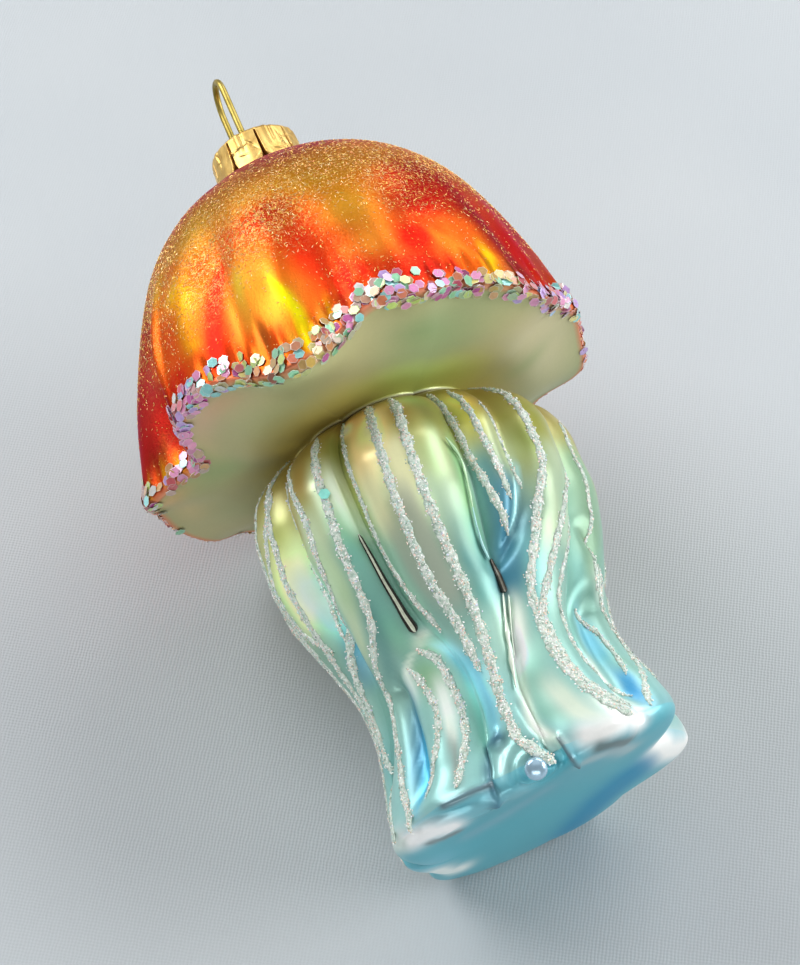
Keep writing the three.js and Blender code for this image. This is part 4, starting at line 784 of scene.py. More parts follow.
def glass_material(name, metallic, rough, spread, grain, coat=0.0, coat_rough=0.1, sheen=None, mottle=0.1, edge=None, flecks=False):
    m, nt, b = material(name)
    co = nt.nodes.new("ShaderNodeTexCoord").outputs["Object"]
    col = attribute(nt, "paint")
    big = noise(nt, co, 160, 3)
    small = noise(nt, co, 2400, 2)
    shade = ramp(nt, big.outputs["Fac"], [(0.3, (1 - mottle,) * 3), (0.7, (1 + mottle * 0.0,) * 3)])
    c = blend_colour(nt, col.outputs["Color"], shade.outputs["Color"])
    fine = ramp(nt, small.outputs["Fac"], [(0.35, (1 - 0.6 * mottle,) * 3), (0.65, (1.0,) * 3)])
    c = blend_colour(nt, c, fine.outputs["Color"])
    if flecks:                                              # fine gold needles too small to model one by one
        share = attribute(nt, "frost")
        for scale, tone, low in ((1300, lin(240, 190, 96), 0.555), (1800, lin(250, 212, 140), 0.585)):
            grainy = noise(nt, co, scale, 1.5, 0.5)
            grainy.inputs["Distortion"].default_value = 2.2
            edge_at = nt.nodes.new("ShaderNodeMapRange")
            edge_at.inputs["From Min"].default_value, edge_at.inputs["From Max"].default_value = low, low + 0.05
            nt.links.new(grainy.outputs["Fac"], edge_at.inputs["Value"])
            amount = nt.nodes.new("ShaderNodeMath"); amount.operation = "MULTIPLY"
            nt.links.new(edge_at.outputs["Result"], amount.inputs[0]); nt.links.new(share.outputs["Fac"], amount.inputs[1])
            half = nt.nodes.new("ShaderNodeMath"); half.operation = "MULTIPLY"; half.inputs[1].default_value = 0.5
            nt.links.new(amount.outputs[0], half.inputs[0])
            c = blend_colour(nt, c, tuple(tone), half.outputs[0], mode="MIX")
    nt.links.new(c, b.inputs["Base Color"])
    b.inputs["Metallic"].default_value = metallic
    mr = nt.nodes.new("ShaderNodeMapRange")
    mr.inputs["To Min"].default_value = rough - spread
    mr.inputs["To Max"].default_value = rough + spread
    nt.links.new(noise(nt, co, 90, 3).outputs["Fac"], mr.inputs["Value"])
    nt.links.new(mr.outputs["Result"], b.inputs["Roughness"])
    b.inputs["Coat Weight"].default_value = coat
    b.inputs["Coat Roughness"].default_value = coat_rough
    if edge:
        b.inputs["Specular Tint"].default_value = (*edge, 1)
    if sheen:
        weight, tint, srough = sheen
        b.inputs["Sheen Weight"].default_value = weight
        b.inputs["Sheen Tint"].default_value = (*tint, 1)
        b.inputs["Sheen Roughness"].default_value = srough
    bp = nt.nodes.new("ShaderNodeBump")
    bp.inputs["Strength"].default_value = grain
    bp.inputs["Distance"].default_value = 0.00006
    nt.links.new(noise(nt, co, 3200, 2, 0.6).outputs["Fac"], bp.inputs["Height"])
    nt.links.new(bp.outputs["Normal"], b.inputs["Normal"])
    return m


mat_dome = glass_material("lacquer_amber", 0.86, 0.42, 0.04, 0.5, sheen=(0.16, (1.0, 0.20, 0.42), 0.3), mottle=0.10, edge=(0.80, 0.18, 0.34), flecks=True)
mat_under = glass_material("satin_sage", 0.12, 0.44, 0.04, 0.10, mottle=0.04)
mat_arm = glass_material("pearl_aqua", 0.26, 0.35, 0.03, 0.05, coat=0.08, coat_rough=0.22, mottle=0.03)

skin = make("glass_skin", verts, [quads, tris], [mat_dome, mat_under, mat_arm], True, {"paint": colour, "frost": frosting}, face_mat=face_kind)
TENTACLES = [f"tentacle_{i}_{p}" for i in range(1, 10) for p in ("upper", "lower")]
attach(skin, "root")
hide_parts("bell", "foot", *TENTACLES)


# ---------------------------------------------------------------- flakes
def frames(normal, turn, tilt, r):
    """Two tangents and a tilted normal for every flake."""
    h = np.where(np.abs(normal[:, 2:3]) < 0.9, [[0, 0, 1.0]], [[1.0, 0, 0]])
    e1 = np.cross(h, normal); e1 /= np.linalg.norm(e1, axis=1, keepdims=True)
    e2 = np.cross(normal, e1)
    a = turn[:, None]
    t1, t2 = e1 * np.cos(a) + e2 * np.sin(a), e2 * np.cos(a) - e1 * np.sin(a)
    b, c = tilt[:, None], r.uniform(0, 2 * np.pi, len(tilt))[:, None]
    ax = t1 * np.cos(c) + t2 * np.sin(c)          # tilt about this tangent
    def rot(v):
        return v * np.cos(b) + np.cross(ax, v) * np.sin(b) + ax * (ax * v).sum(1, keepdims=True) * (1 - np.cos(b))
    return rot(t1), rot(t2), rot(normal)


def scatter(name, centre, e1, e2, n, shape, faces, size, colours, uv, mat, spread=0.0014, flat=True):
    """Joined copies of a small closed shape: shape (k, 3) in units of size (m, 3) along e1, e2 and n."""
    kk, m = len(shape), len(centre)
    off = shape[None, :, :] * size[:, None, :]
    v = centre[:, None, :] + off[..., 0:1] * e1[:, None, :] + off[..., 1:2] * e2[:, None, :] + off[..., 2:3] * n[:, None, :]
    v = place(v.reshape(-1, 3))
    v[:, 2] = np.maximum(v[:, 2], 0.00002)
    fs = [(np.arange(m)[:, None, None] * kk + f[None]).reshape(-1, f.shape[1]) for f in faces]
    uvs = (uv[:, None, :] + shape[None, :, :2] * spread).reshape(-1, 2)
    return make(name, v, fs, [mat], not flat, {"tint": colours if len(colours) == m * kk else np.repeat(colours, kk, axis=0)}, uv=uvs)


def flake_material(name, metallic, rough, coat, gain=1.0):
    m, nt, b = material(name)
    co = nt.nodes.new("ShaderNodeTexCoord").outputs["Object"]
    col = attribute(nt, "tint")
    sh = ramp(nt, noise(nt, co, 1800, 2).outputs["Fac"], [(0.3, (0.82,) * 3), (0.7, (1.0,) * 3)])
    nt.links.new(blend_colour(nt, col.outputs["Color"], sh.outputs["Color"]), b.inputs["Base Color"])
    b.inputs["Metallic"].default_value = metallic
    b.inputs["Roughness"].default_value = rough
    b.inputs["Coat Weight"].default_value = coat
    b.inputs["Coat Roughness"].default_value = 0.05
    return m


mat_hex = flake_material("iridescent_film", 0.08, 0.16, 0.7)
mat_chip = flake_material("glass_glitter", 0.0, 0.18, 1.0)
mat_speck = flake_material("gold_dust", 0.35, 0.32, 0.2)

# hexagonal flakes of the rim band
r = np.random.default_rng(5)
hexagon = np.array([[math.cos(math.radians(60 * i)), math.sin(math.radians(60 * i)), s] for s in (-1, 1) for i in range(6)])
hex_faces = [np.array([[5, 4, 3, 2, 1, 0], [6, 7, 8, 9, 10, 11]]), np.array([[i, (i + 1) % 6, 6 + (i + 1) % 6, 6 + i] for i in range(6)])]
PALETTE = {"white": (246, 252, 248), "cyan": (160, 246, 244), "mint": (164, 242, 196), "lime": (214, 244, 136), "lilac": (214, 180, 250),
           "pink": (250, 166, 214), "magenta": (206, 78, 172), "rose": (212, 104, 112), "amber": (232, 178, 120), "brown": (160, 108, 92),
           "blue": (164, 206, 254), "yellow": (252, 240, 150), "tan": (214, 176, 110), "plum": (132, 28, 96)}
WEIGHTS = [  # share of each tone along the rim: angle, half width, tones
    (-92, 6, "yellow white lime pink amber cyan"), (-78, 9, "pink amber lilac pink magenta rose"), (-62, 9, "pink magenta pink lilac pink magenta"), (-49, 6, "white cyan lilac magenta blue cyan pink"), (-36, 7, "mint lime yellow mint lime lime yellow"),
    (-26, 7, "brown mint tan mint lime lime rose mint"), (-16, 6, "rose magenta cyan mint lime mint tan"), (-6, 7, "mint cyan white lime mint mint"), (6, 8, "cyan magenta lilac amber mint pink lime rose"),
    (17, 7, "pink magenta magenta lilac pink rose plum lime"), (30, 8, "yellow lime cyan pink amber tan mint"), (46, 9, "lilac pink pink lilac magenta rose"),
    (66, 12, "lilac pink white blue cyan lilac"), (110, 40, "lilac pink white mint cyan yellow")]


def tones(phi, r):
    out = np.zeros((len(phi), 3))
    names = [n for n in PALETTE if n not in ("plum", "brown")]
    for i, p in enumerate(phi):
        w = np.array([math.exp(-(((p - a + 180) % 360 - 180) / h) ** 2) for a, h, _ in WEIGHTS]) + 1e-3
        pick = WEIGHTS[int(r.choice(len(WEIGHTS), p=w / w.sum()))][2].split()
        name = pick[r.integers(len(pick))] if r.random() > 0.12 else names[r.integers(len(names))]
        out[i] = lin(*PALETTE[name]) * r.uniform(0.66, 0.95)
    return np.clip(out, 0, 1)


rim_len = 2 * math.pi * 33.4
rows_phi, rows_s, rows_up = [], [], []
RIM_ROWS = [0.62, -0.62, 1.80, -1.72, 2.85]
far = lambda p: 1 - step(64, 76, p) * 0.96 - step(-96, -106, p) * 0.96 * (p < 0)   # the far rim carries its glitter on the outside only
for k in range(5):
    m = int(rim_len / [1.34, 1.36, 1.46, 1.6, 1.9][k])
    p = np.arange(m) * 360.0 / m + r.uniform(-1.0, 1.0, m) + k * 1.3
    keep = r.random(m) < [0.98, 0.96, 0.84, 0.72, 0.26][k] * np.where((np.abs(wrap(p + 90)) < 8) & (RIM_ROWS[k] < 0), 0.5, 1.0) * (1 - (1.0 if RIM_ROWS[k] > 2.5 else 0.70 if RIM_ROWS[k] > 1.5 else 0.0) * step(4, 16, wrap(p)) * (1 - step(50, 62, wrap(p)))) * np.clip(1 + (0.3 if k > 1 else 0.0) * waves(p, p * 0, 40 + k, n=9), 0, 1) * (far(wrap(p)) if RIM_ROWS[k] < 0 else 1.0)
    rows_phi.append(p[keep])
    rows_s.append(RIM_ROWS[k] + r.uniform(-0.3, 0.3, keep.sum()) - 0.5 * step(4, 16, wrap(p[keep])) * (1 - step(50, 62, wrap(p[keep]))))
    rows_up.append(np.full(keep.sum(), 0.06) + r.uniform(0, 0.10, keep.sum()))
m = 520                                                    # a second layer here and there
p = r.uniform(-180, 180, m)
keep = np.abs(wrap(p + 90)) > 3
side_s = r.uniform(-1.9, 2.4, m)
keep &= (side_s > 0.1) | (r.random(m) < far(p))
keep &= (side_s < 1.5) | (p < 6) | (p > 56)
rows_phi.append(p[keep]); rows_s.append(side_s[keep]); rows_up.append(r.uniform(0.2, 0.42, m)[keep])
m = 330                                                    # small torn bits along the far rim
p = wrap(r.uniform(66, 266, m))
rows_phi.append(p); rows_s.append(r.uniform(-0.9, 0.3, m)); rows_up.append(r.uniform(0.02, 0.16, m))
small = np.zeros(sum(len(v) for v in rows_phi), bool); small[-m:] = True
phi, s, up = wrap(np.concatenate(rows_phi)), np.concatenate(rows_s), np.concatenate(rows_up)
EDGE = 1.03                                                # width of the edge between the bell's rim and its underside, mm
t = 1 - np.maximum(s, 0) / DOME_LENGTH
q = np.maximum(-s - EDGE, 0) / 20.0 + 0.003
way = np.clip(-s / EDGE, 0, 1)[:, None]
on_dome = s > -EDGE / 2
pos = bell(phi, t) * (1 - way) + under(phi, q) * way
nd = normals(bell, phi, np.minimum(t, 0.99))
nu = normals(under, phi, q + 0.01, db=0.01)
turn = step(-0.3, 1.2, -s / EDGE)[:, None]
nrm = nd * (1 - turn) + nu * turn
nrm /= np.linalg.norm(nrm, axis=1, keepdims=True)
tilt = np.abs(r.normal(0, 1, len(phi))) * (0.10 + 0.30 * bump(phi, 58, 22) + 0.12 * bump(phi, -76, 12))
e1, e2, nn = frames(nrm, r.uniform(0, np.pi, len(phi)), tilt, r)
pos = pos + nrm * up[:, None] + nrm * 0.10 * (1 - np.abs(2 * way - 1))
size = np.stack([r.normal(0.80, 0.04, len(phi))] * 2 + [np.full(len(phi), 0.030)], -1)
size[small, :2] *= r.uniform(0.3, 0.6, small.sum())[:, None]
uv = np.where(on_dome[:, None], skin_uv("dome", phi, t), skin_uv("under", phi, q))
# each flake has a pale rim: outer ring, then a slightly smaller inner ring on both faces
ringed = np.array([[f * math.cos(math.radians(60 * i)), f * math.sin(math.radians(60 * i)), zz] for f, zz in ((0.84, -1.0), (1.0, -0.6), (1.0, 0.6), (0.84, 1.0)) for i in range(6)])
ringed_faces = [np.array([[5, 4, 3, 2, 1, 0], [18, 19, 20, 21, 22, 23]]),
                np.array([[6 * k + i, 6 * k + (i + 1) % 6, 6 * k + 6 + (i + 1) % 6, 6 * k + 6 + i] for k in range(3) for i in range(6)])]
base = tones(phi, r)
below = np.where(on_dome[:, None], dome_paint(phi, np.minimum(t, 0.97)), under_paint(phi, np.maximum(q, 0.06)))
see = np.where(r.random(len(phi)) < 0.10 + 0.34 * bump(phi, -16, 34), 0.66, 0.06)[:, None]
base = base * (1 - see) + (below * 0.9 + 0.08) * see
base[small] = np.array([lin(*c) for c in ((232, 132, 90), (240, 160, 130), (236, 150, 150), (214, 104, 70), (244, 180, 120))])[r.integers(0, 5, small.sum())]
outer = np.clip(base * 0.42 + 0.58 * np.array([0.76, 0.78, 0.70]), 0, 1)
per = np.stack([base] * 6 + [outer] * 12 + [base] * 6, 1).reshape(-1, 3)
lone_p, lone_n = on_glass(np.array([-41.2]), np.array([-19.1]))      # one loose flake on an arm
l1, l2, l3 = frames(lone_n, np.array([0.3]), np.array([0.12]), r)
pos, e1, e2, nn = np.concatenate([pos, lone_p + lone_n * 0.34]), np.concatenate([e1, l1]), np.concatenate([e2, l2]), np.concatenate([nn, l3])
size = np.concatenate([size, [[0.82, 0.82, 0.045]]])
per = np.concatenate([per, np.tile(lin(150, 240, 226), (24, 1))])
uv = np.concatenate([uv, skin_uv("arm", np.array([-41.2]), np.array([-19.1]))])
hexes = scatter("rim_glitter", pos, e1, e2, nn, ringed, ringed_faces, size, per, uv, mat_hex)
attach(hexes, "root")

# gold dust on the bell
n_dust = 54000
octa = np.array([[1, 0, 0], [-1, 0, 0], [0, 1, 0], [0, -1, 0], [0, 0, 1], [0, 0, -1.0]])
octa_faces = [np.array([[0, 2, 4], [2, 1, 4], [1, 3, 4], [3, 0, 4], [2, 0, 5], [1, 2, 5], [3, 1, 5], [0, 3, 5]])]
t = np.sqrt(r.uniform(0.0, 0.86, n_dust))
phi = r.uniform(-180, 180, n_dust)
t = 0.26 + 0.72 * t / 0.9274
keep = r.random(n_dust) < np.clip(frost_share(phi, t), 0.05, 1)
t, phi = t[keep], phi[keep]
pos, nrm = bell(phi, t), normals(bell, phi, t)
e1, e2, nn = frames(nrm, r.uniform(0, np.pi, len(t)), np.abs(r.normal(0, 0.25, len(t))), r)
size = np.stack([r.uniform(0.12, 0.38, len(t)) * (1 - 0.25 * step(0.7, 0.9, t)), r.uniform(0.04, 0.068, len(t)), np.full(len(t), 0.04)], -1)
dust_tones = np.array([lin(*c) for c in ((255, 214, 120), (255, 196, 100), (255, 232, 170), (255, 176, 110), (240, 206, 80))])
tint = dust_tones[r.integers(0, 5, len(t))]
for i, name in enumerate(("bell_gold_dust_a", "bell_gold_dust_b")):
    sl = slice(i, None, 2)
    dust = scatter(name, (pos + nrm * 0.03)[sl], e1[sl], e2[sl], nn[sl], octa, octa_faces, size[sl], tint[sl], skin_uv("dome", phi[sl], t[sl]), mat_speck)
    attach(dust, "root")

# glitter lines down the arms: half width mm, path (angle, height)
STRIPES = [
    (0.62, [(-67.9, -12.6), (-72.8, -16.8), (-82.3, -24.1), (-85.1, -30.3), (-78.3, -35.6)]),
    (0.36, [(-62.3, -12.2), (-62.5, -20.9), (-65.8, -29.6), (-71, -35)]),
    (0.66, [(-62, -8.2), (-55, -13), (-51.3, -20.6), (-57.3, -30.0), (-70.0, -35.6), (-84.6, -42.5), (-91.0, -50.0), (-82, -57), (-79, -62.0)]),
    (0.74, [(-41.2, -9.4), (-41.8, -19.8), (-45.1, -29.7), (-49.6, -36.3), (-65.1, -42.5), (-71.8, -48.8), (-69.6, -57.0), (-68.1, -62.3)]),
    (0.56, [(-29.9, -8.0), (-32.0, -23.3), (-33.4, -30), (-32.2, -35), (-27.4, -41.5)]),
    (0.78, [(-15.0, -8.0), (-18.0, -17.6), (-20.3, -26.4), (-21.6, -35.8), (-19.6, -41.5), (-18.7, -48.3)]),
    (0.84, [(-4.1, -8.4), (-9.5, -19.3), (-11.2, -30.8), (-11.0, -40.0), (-13.1, -47.8), (-15.8, -54.2), (-15.6, -57.6), (-11.5, -60.3), (-7.5, -62.2), (-5.0, -63.2)]),
    (0.66, [(17.5, -8.4), (12.8, -16), (11.8, -22), (12.7, -27.0), (15.2, -32.6)]),
    (0.60, [(23.0, -9.6), (18.3, -18.4), (18.1, -24.9), (19.1, -28.6)]),
    (0.36, [(26.5, -13.6), (25.9, -20.0), (25.2, -24.8), (25.8, -27.4)]),
    (0.80, [(47.6, -7.8), (42, -12), (37.0, -17), (35.4, -23.3), (25.3, -32.6), (14.0, -42.4), (13.5, -48.2), (18.0, -54.8), (24.0, -59.2), (30.0, -61.6)]),
    (0.74, [(62, -9.5), (60, -14), (56, -22), (42.1, -30.1), (25.1, -39.3), (16.0, -45.4), (18.0, -52.4), (23.5, -57.0), (30.5, -59.4), (36, -60.4)]),
    (0.46, [(61, -25), (50, -31.5), (42.3, -35.0), (26.4, -44.0), (25.5, -49.0), (29.5, -53.6), (38, -57), (43, -59)]),
    (0.50, [(70.2, -15.6), (68.2, -23.6), (63.8, -32.7), (57.6, -41.5)]),
    (0.58, [(68, -36.0), (61, -42.6), (63.0, -47.4), (57.5, -53.8), (48.5, -59.0), (45.0, -61.2)]),
    (0.48, [(45.0, -43.6), (51.5, -48.4), (50.5, -52.4), (47.5, -55.6)]),
    (0.72, [(-39.5, -42.4), (-34.0, -45.0), (-33.5, -49.0), (-36.5, -54.2), (-41.5, -57.6), (-46.0, -60.4)]),
    (0.58, [(-47.5, -43.8), (-44.5, -46.2), (-43.5, -49.6), (-48.0, -53.8), (-54.0, -56.8), (-59.0, -59.6)])]
for i, shares in [(3, (0.62, 0.84)), (4, (0.22, 0.5, 0.78)), (5, (0.25, 0.52, 0.8)), (6, (0.2, 0.48, 0.76)), (7, (0.24, 0.55, 0.8)), (8, (0.2, 0.46, 0.7))]:
    for m, f in enumerate(shares):
        path = []
        for z in np.linspace(-7.9 - 1.5 * (m % 2), -61.4 + 4.0 * ((m + i) % 2), 9):
            a0, b0 = float(crease[i](z)), float(crease[(i + 1) % 9](z))
            while b0 < a0:
                b0 += 360
            path.append((a0 + (b0 - a0) * (f + 0.05 * math.sin(z * 0.12 + i * 1.7 + m)), z))
        STRIPES.append((0.72 - 0.12 * (m % 2), path))


def along(path, spacing):
    """Even points on a smooth curve through (angle, height), by length on the glass."""
    p = np.array(path, float)
    u = np.concatenate([[0], np.cumsum(np.hypot(np.radians(np.diff(p[:, 0])) * 20, np.diff(p[:, 1])))])
    fa, fz = curve(list(zip(u, p[:, 0]))), curve(list(zip(u, p[:, 1])))
    w = np.linspace(0, u[-1], max(8, int(u[-1] / spacing)))
    return fa(w), fz(w), w


def sideways(fa, fz):
    """Change of angle and height for one mm to the side of a path on the glass."""
    h = 0.15
    z = np.clip(fz, END_Z + h, ROOT_Z - h)
    pa = (arms(fa + h, z) - arms(fa - h, z)) / (2 * h)
    pz = (arms(fa, z + h) - arms(fa, z - h)) / (2 * h)
    n = np.cross(pa, pz)
    n /= np.linalg.norm(n, axis=-1, keepdims=True)
    tan = pa * np.gradient(fa)[:, None] + pz * np.gradient(fz)[:, None]
    tan /= np.maximum(np.linalg.norm(tan, axis=-1, keepdims=True), 1e-9)
    side = np.cross(n, tan)
    return (side * pa).sum(-1) / (pa * pa).sum(-1), (side * pz).sum(-1) / (pz * pz).sum(-1)


mat_bed, nt, b = material("glitter_glue")
co = nt.nodes.new("ShaderNodeTexCoord").outputs["Object"]
rb = ramp(nt, noise(nt, co, 1500, 3).outputs["Fac"], [(0.3, tuple(lin(158, 184, 168))), (0.5, tuple(lin(204, 218, 206))), (0.7, tuple(lin(240, 244, 236)))])
nt.links.new(rb.outputs["Color"], b.inputs["Base Color"])
b.inputs["Roughness"].default_value = 0.45
bp = node(nt, "ShaderNodeBump", Strength=0.7, Distance=0.0002)
nt.links.new(noise(nt, co, 2600, 3, 0.7).outputs["Fac"], bp.inputs["Height"])
nt.links.new(bp.outputs["Normal"], b.inputs["Normal"])

bed_v, bed_f, count = [], [], 0
chips = {k: [] for k in ("pos", "n", "phi", "z")}
r = np.random.default_rng(9)
for half, path in STRIPES:
    fa, fz, w = along(path, 0.45)
    sa, sz = sideways(fa, fz)
    taper = np.minimum(1, np.minimum(w, w[-1] - w) / 1.5) ** 0.5
    wob = half * (0.98 + 0.18 * np.sin(w * 1.9 + half * 40) + 0.10 * np.sin(w * 5.1)) * (0.35 + 0.65 * taper)
    ring = []
    for c in (-0.8, -0.42, 0.0, 0.42, 0.8):
        ring.append(on_glass(fa + c * wob * sa, fz + c * wob * sz, 0.16 * (1 - (c / 0.85) ** 2))[0])
    for c in (0.65, 0.0, -0.65):
        ring.append(on_glass(fa + c * wob * sa, fz + c * wob * sz, -0.12)[0])
    ring = np.stack(ring, 1)
    m, kk = ring.shape[:2]
    bed_v.append(ring.reshape(-1, 3))
    i0 = count + (np.arange(m - 1)[:, None] * kk + np.arange(kk)[None])
    i1 = count + (np.arange(m - 1)[:, None] * kk + (np.arange(kk)[None] + 1) % kk)
    bed_f.append(np.stack([i0, i0 + kk, i1 + kk, i1], -1).reshape(-1, 4))
    ends = np.array([list(range(kk)), list(range((m - 1) * kk + kk - 1, (m - 1) * kk - 1, -1))]) + count
    bed_f.append(np.stack([ends[:, [0, 1, 2, 3]], ends[:, [3, 4, 5, 6]]], 1).reshape(-1, 4))
    bed_f.append(np.stack([ends[:, 0], ends[:, 3], ends[:, 6], ends[:, 7]], -1))
    count += m * kk
    n = int(w[-1] * half * 30)
    i = r.integers(0, len(w), n)
    u = np.clip(r.normal(0, 0.52, n), -1.04, 1.04)
    along_a, along_z = np.gradient(fa)[i], np.gradient(fz)[i]
    f = r.uniform(-0.5, 0.5, n)
    pa = fa[i] + f * along_a + u * wob[i] * sa[i]
    pz = fz[i] + f * along_z + u * wob[i] * sz[i]
    p, nn = on_glass(pa, pz, 0.17 * np.clip(1 - u ** 2, 0, 1) + r.uniform(-0.03, 0.07, n))
    chips["pos"].append(p); chips["n"].append(nn); chips["phi"].append(pa); chips["z"].append(pz)
bed = make("arm_glitter_beds", place(np.concatenate(bed_v)), [np.concatenate(bed_f)], [mat_bed], True)
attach(bed, "root")
cp = {k: np.concatenate(v) for k, v in chips.items()}
n_chip = len(cp["phi"])
e1, e2, nn = frames(cp["n"], r.uniform(0, np.pi, n_chip), np.abs(r.normal(0, 0.55, n_chip)), r)
big = r.uniform(0.08, 0.21, n_chip)
size = np.stack([big, big * r.uniform(0.6, 1.0, n_chip), r.uniform(0.04, 0.07, n_chip)], -1)
chip_tones = [(255, 255, 252)] * 12 + [(240, 246, 236)] * 5 + [(204, 222, 208)] * 3 + [(164, 186, 170)] * 3 + [(255, 232, 206)] * 2 + [(255, 220, 206)] * 3 + [(198, 240, 230)] * 2 + [(226, 230, 250)]
tint = np.array([lin(*chip_tones[i]) for i in r.integers(0, len(chip_tones), n_chip)])
half_n = n_chip // 2
for name, sl in (("arm_glitter_a", slice(0, half_n)), ("arm_glitter_b", slice(half_n, n_chip))):
    ob = scatter(name, cp["pos"][sl], e1[sl], e2[sl], nn[sl], octa, octa_faces, size[sl], tint[sl],
                 skin_uv("arm", cp["phi"][sl], cp["z"][sl]), mat_chip)
    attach(ob, "root")


# ---------------------------------------------------------------- small glass details
def blob(name, centre, normal, radius, height, mat, paint_tone, rings=10, seg=28, sink=0.25, attr="paint", collar=0.0):
    """A rounded drop that stands on the glass along its normal."""
    normal = normal / np.linalg.norm(normal)
    e1 = np.cross([0, 0, 1.0] if abs(normal[2]) < 0.9 else [1.0, 0, 0], normal); e1 /= np.linalg.norm(e1)
    e2 = np.cross(normal, e1)
    prof = []
    if collar:
        prof += [(collar, -sink), (collar * 0.96, 0.02), (collar * 0.86, 0.16), (collar * 0.74, 0.10), (radius * 1.08, 0.03)]
    else:
        prof += [(radius * 0.9, -sink)]
    for i in range(rings):
        a = math.radians(-30 + 120 * i / rings)
        prof.append((radius * math.cos(a), height * 0.5 + height * 0.55 * math.sin(a)))
    a = np.linspace(0, 2 * np.pi, seg, endpoint=False)
    v = [centre[None] + (e1[None] * np.cos(a)[:, None] + e2[None] * np.sin(a)[:, None]) * rr + normal[None] * hh for rr, hh in prof]
    m = len(v)
    v = np.concatenate(v + [[centre + normal * height * 1.05, centre - normal * sink]])
    jj = np.arange(seg); kk = (jj + 1) % seg
    f4 = np.concatenate([np.stack([i * seg + jj, i * seg + kk, (i + 1) * seg + kk, (i + 1) * seg + jj], -1) for i in range(m - 1)])
    f3 = np.concatenate([np.stack([(m - 1) * seg + jj, (m - 1) * seg + kk, np.full(seg, m * seg)], -1),
                         np.stack([kk, jj, np.full(seg, m * seg + 1)], -1)])
    ob = make(name, place(v), [f4, f3], [mat], True, {attr: np.tile(paint_tone, (len(v), 1))})
    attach(ob, "root")
    return ob


mat_bead = glass_material("glass_bead", 0.50, 0.24, 0.02, 0.02, coat=0.5, coat_rough=0.10, mottle=0.02)
bead_p, bead_n = on_glass(np.array([-13.0]), np.array([END_Z - 9.0 * 0.14]))
bead_n = bead_n[0] * 0.5 + np.array([-0.10, 0.62, -0.78]) * 0.5
blob("foot_bead", bead_p[0] - bead_n / np.linalg.norm(bead_n) * 0.35, bead_n, 1.5, 1.7, mat_bead, lin(168, 200, 220), sink=0.6)


def strip(name, path, widths, section, mat, rise=0.0, sway=0.0):
    """A narrow strip along a path of (angle, height): widths are half widths in mm, section is (across, lift, tone) around it."""
    fa, fz, w = along(path, 0.22)
    s = w / w[-1]
    half = np.interp(s, np.linspace(0, 1, len(widths)), widths) * np.sqrt(np.clip(1 - np.clip((s - 0.93) / 0.072, 0, 1) ** 2, 0.03, 1)) * np.sqrt(np.clip(s / 0.05, 0.05, 1))
    base = arms(fa, fz)
    a = np.radians(fa)
    out = np.stack([np.sin(a), np.cos(a), 0 * a], -1)
    tan = np.gradient(base, axis=0)
    tan /= np.linalg.norm(tan, axis=1, keepdims=True)
    side = np.cross(tan, out)
    side /= np.linalg.norm(side, axis=1, keepdims=True)
    up = np.cross(side, tan)
    up *= np.sign((up * out).sum(1, keepdims=True))
    lean = side * math.cos(sway) + up * math.sin(sway)
    rise_v = up * math.cos(sway) - side * math.sin(sway)
    ring = np.stack([base + up * rise + lean * (c * half)[:, None] + rise_v * (lift * np.clip(half / max(widths), 0.35, 1))[:, None] for c, lift, _ in section], 1)
    m, kk = ring.shape[:2]
    i0 = np.arange(m - 1)[:, None] * kk + np.arange(kk)[None]
    i1 = np.arange(m - 1)[:, None] * kk + (np.arange(kk)[None] + 1) % kk
    f = [np.stack([i0, i0 + kk, i1 + kk, i1], -1).reshape(-1, 4)]
    fan = np.array([[0, i, i + 1] for i in range(1, kk - 1)])
    v = place(ring.reshape(-1, 3))
    ob = make(name, v, f + [fan, fan[:, ::-1] + (m - 1) * kk], [mat], True, {"paint": np.tile(np.array([lin(*t) for _, _, t in section]), (m, 1))})
    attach(ob, "root")
    return ob


mat_bare, nt, b = material("bare_silvering")
co = nt.nodes.new("ShaderNodeTexCoord").outputs["Object"]
rb = ramp(nt, noise(nt, co, 900, 3).outputs["Fac"], [(0.35, (0.7,) * 3), (0.6, (1.0,) * 3)])
nt.links.new(blend_colour(nt, attribute(nt, "paint").outputs["Color"], rb.outputs["Color"]), b.inputs["Base Color"])
b.inputs["Metallic"].default_value = 0.2
b.inputs["Roughness"].default_value = 0.2
# the dark tone on the slits' walls is painted shade and a painted dark reflection in the bare silver; the glint and the
# pale middle are a painted glint on the slit's floor
SLIT_SHADE, GLINT = (44, 44, 38), (226, 232, 208)
GUTTER = [(-1, -0.5, SLIT_SHADE), (-1, 0.02, SLIT_SHADE), (-0.74, 0.16, SLIT_SHADE), (-0.44, 0.08, SLIT_SHADE), (-0.38, 0.06, GLINT), (0.0, 0.05, (206, 214, 190)), (0.30, 0.06, GLINT), (0.36, 0.08, SLIT_SHADE), (0.70, 0.16, SLIT_SHADE), (0.92, 0.06, SLIT_SHADE), (1, -0.5, SLIT_SHADE)]
strip("bare_crease_1", [(-36.8, -26.0), (-37.0, -30.2), (-37.3, -34.2), (-37.2, -37.5), (-36.6, -40.3)], [0.26, 0.36, 0.44, 0.54, 0.74], GUTTER, mat_bare, rise=0.75, sway=-0.25)
strip("bare_crease_2", [(4.4, -35.2), (4.6, -37.5), (4.6, -40.2)], [0.20, 0.40, 0.46], [(c, l, (126, 118, 100) if t == GLINT else (112, 112, 104) if t == (206, 214, 190) else t) for c, l, t in GUTTER], mat_bare, rise=0.5, sway=-0.2)

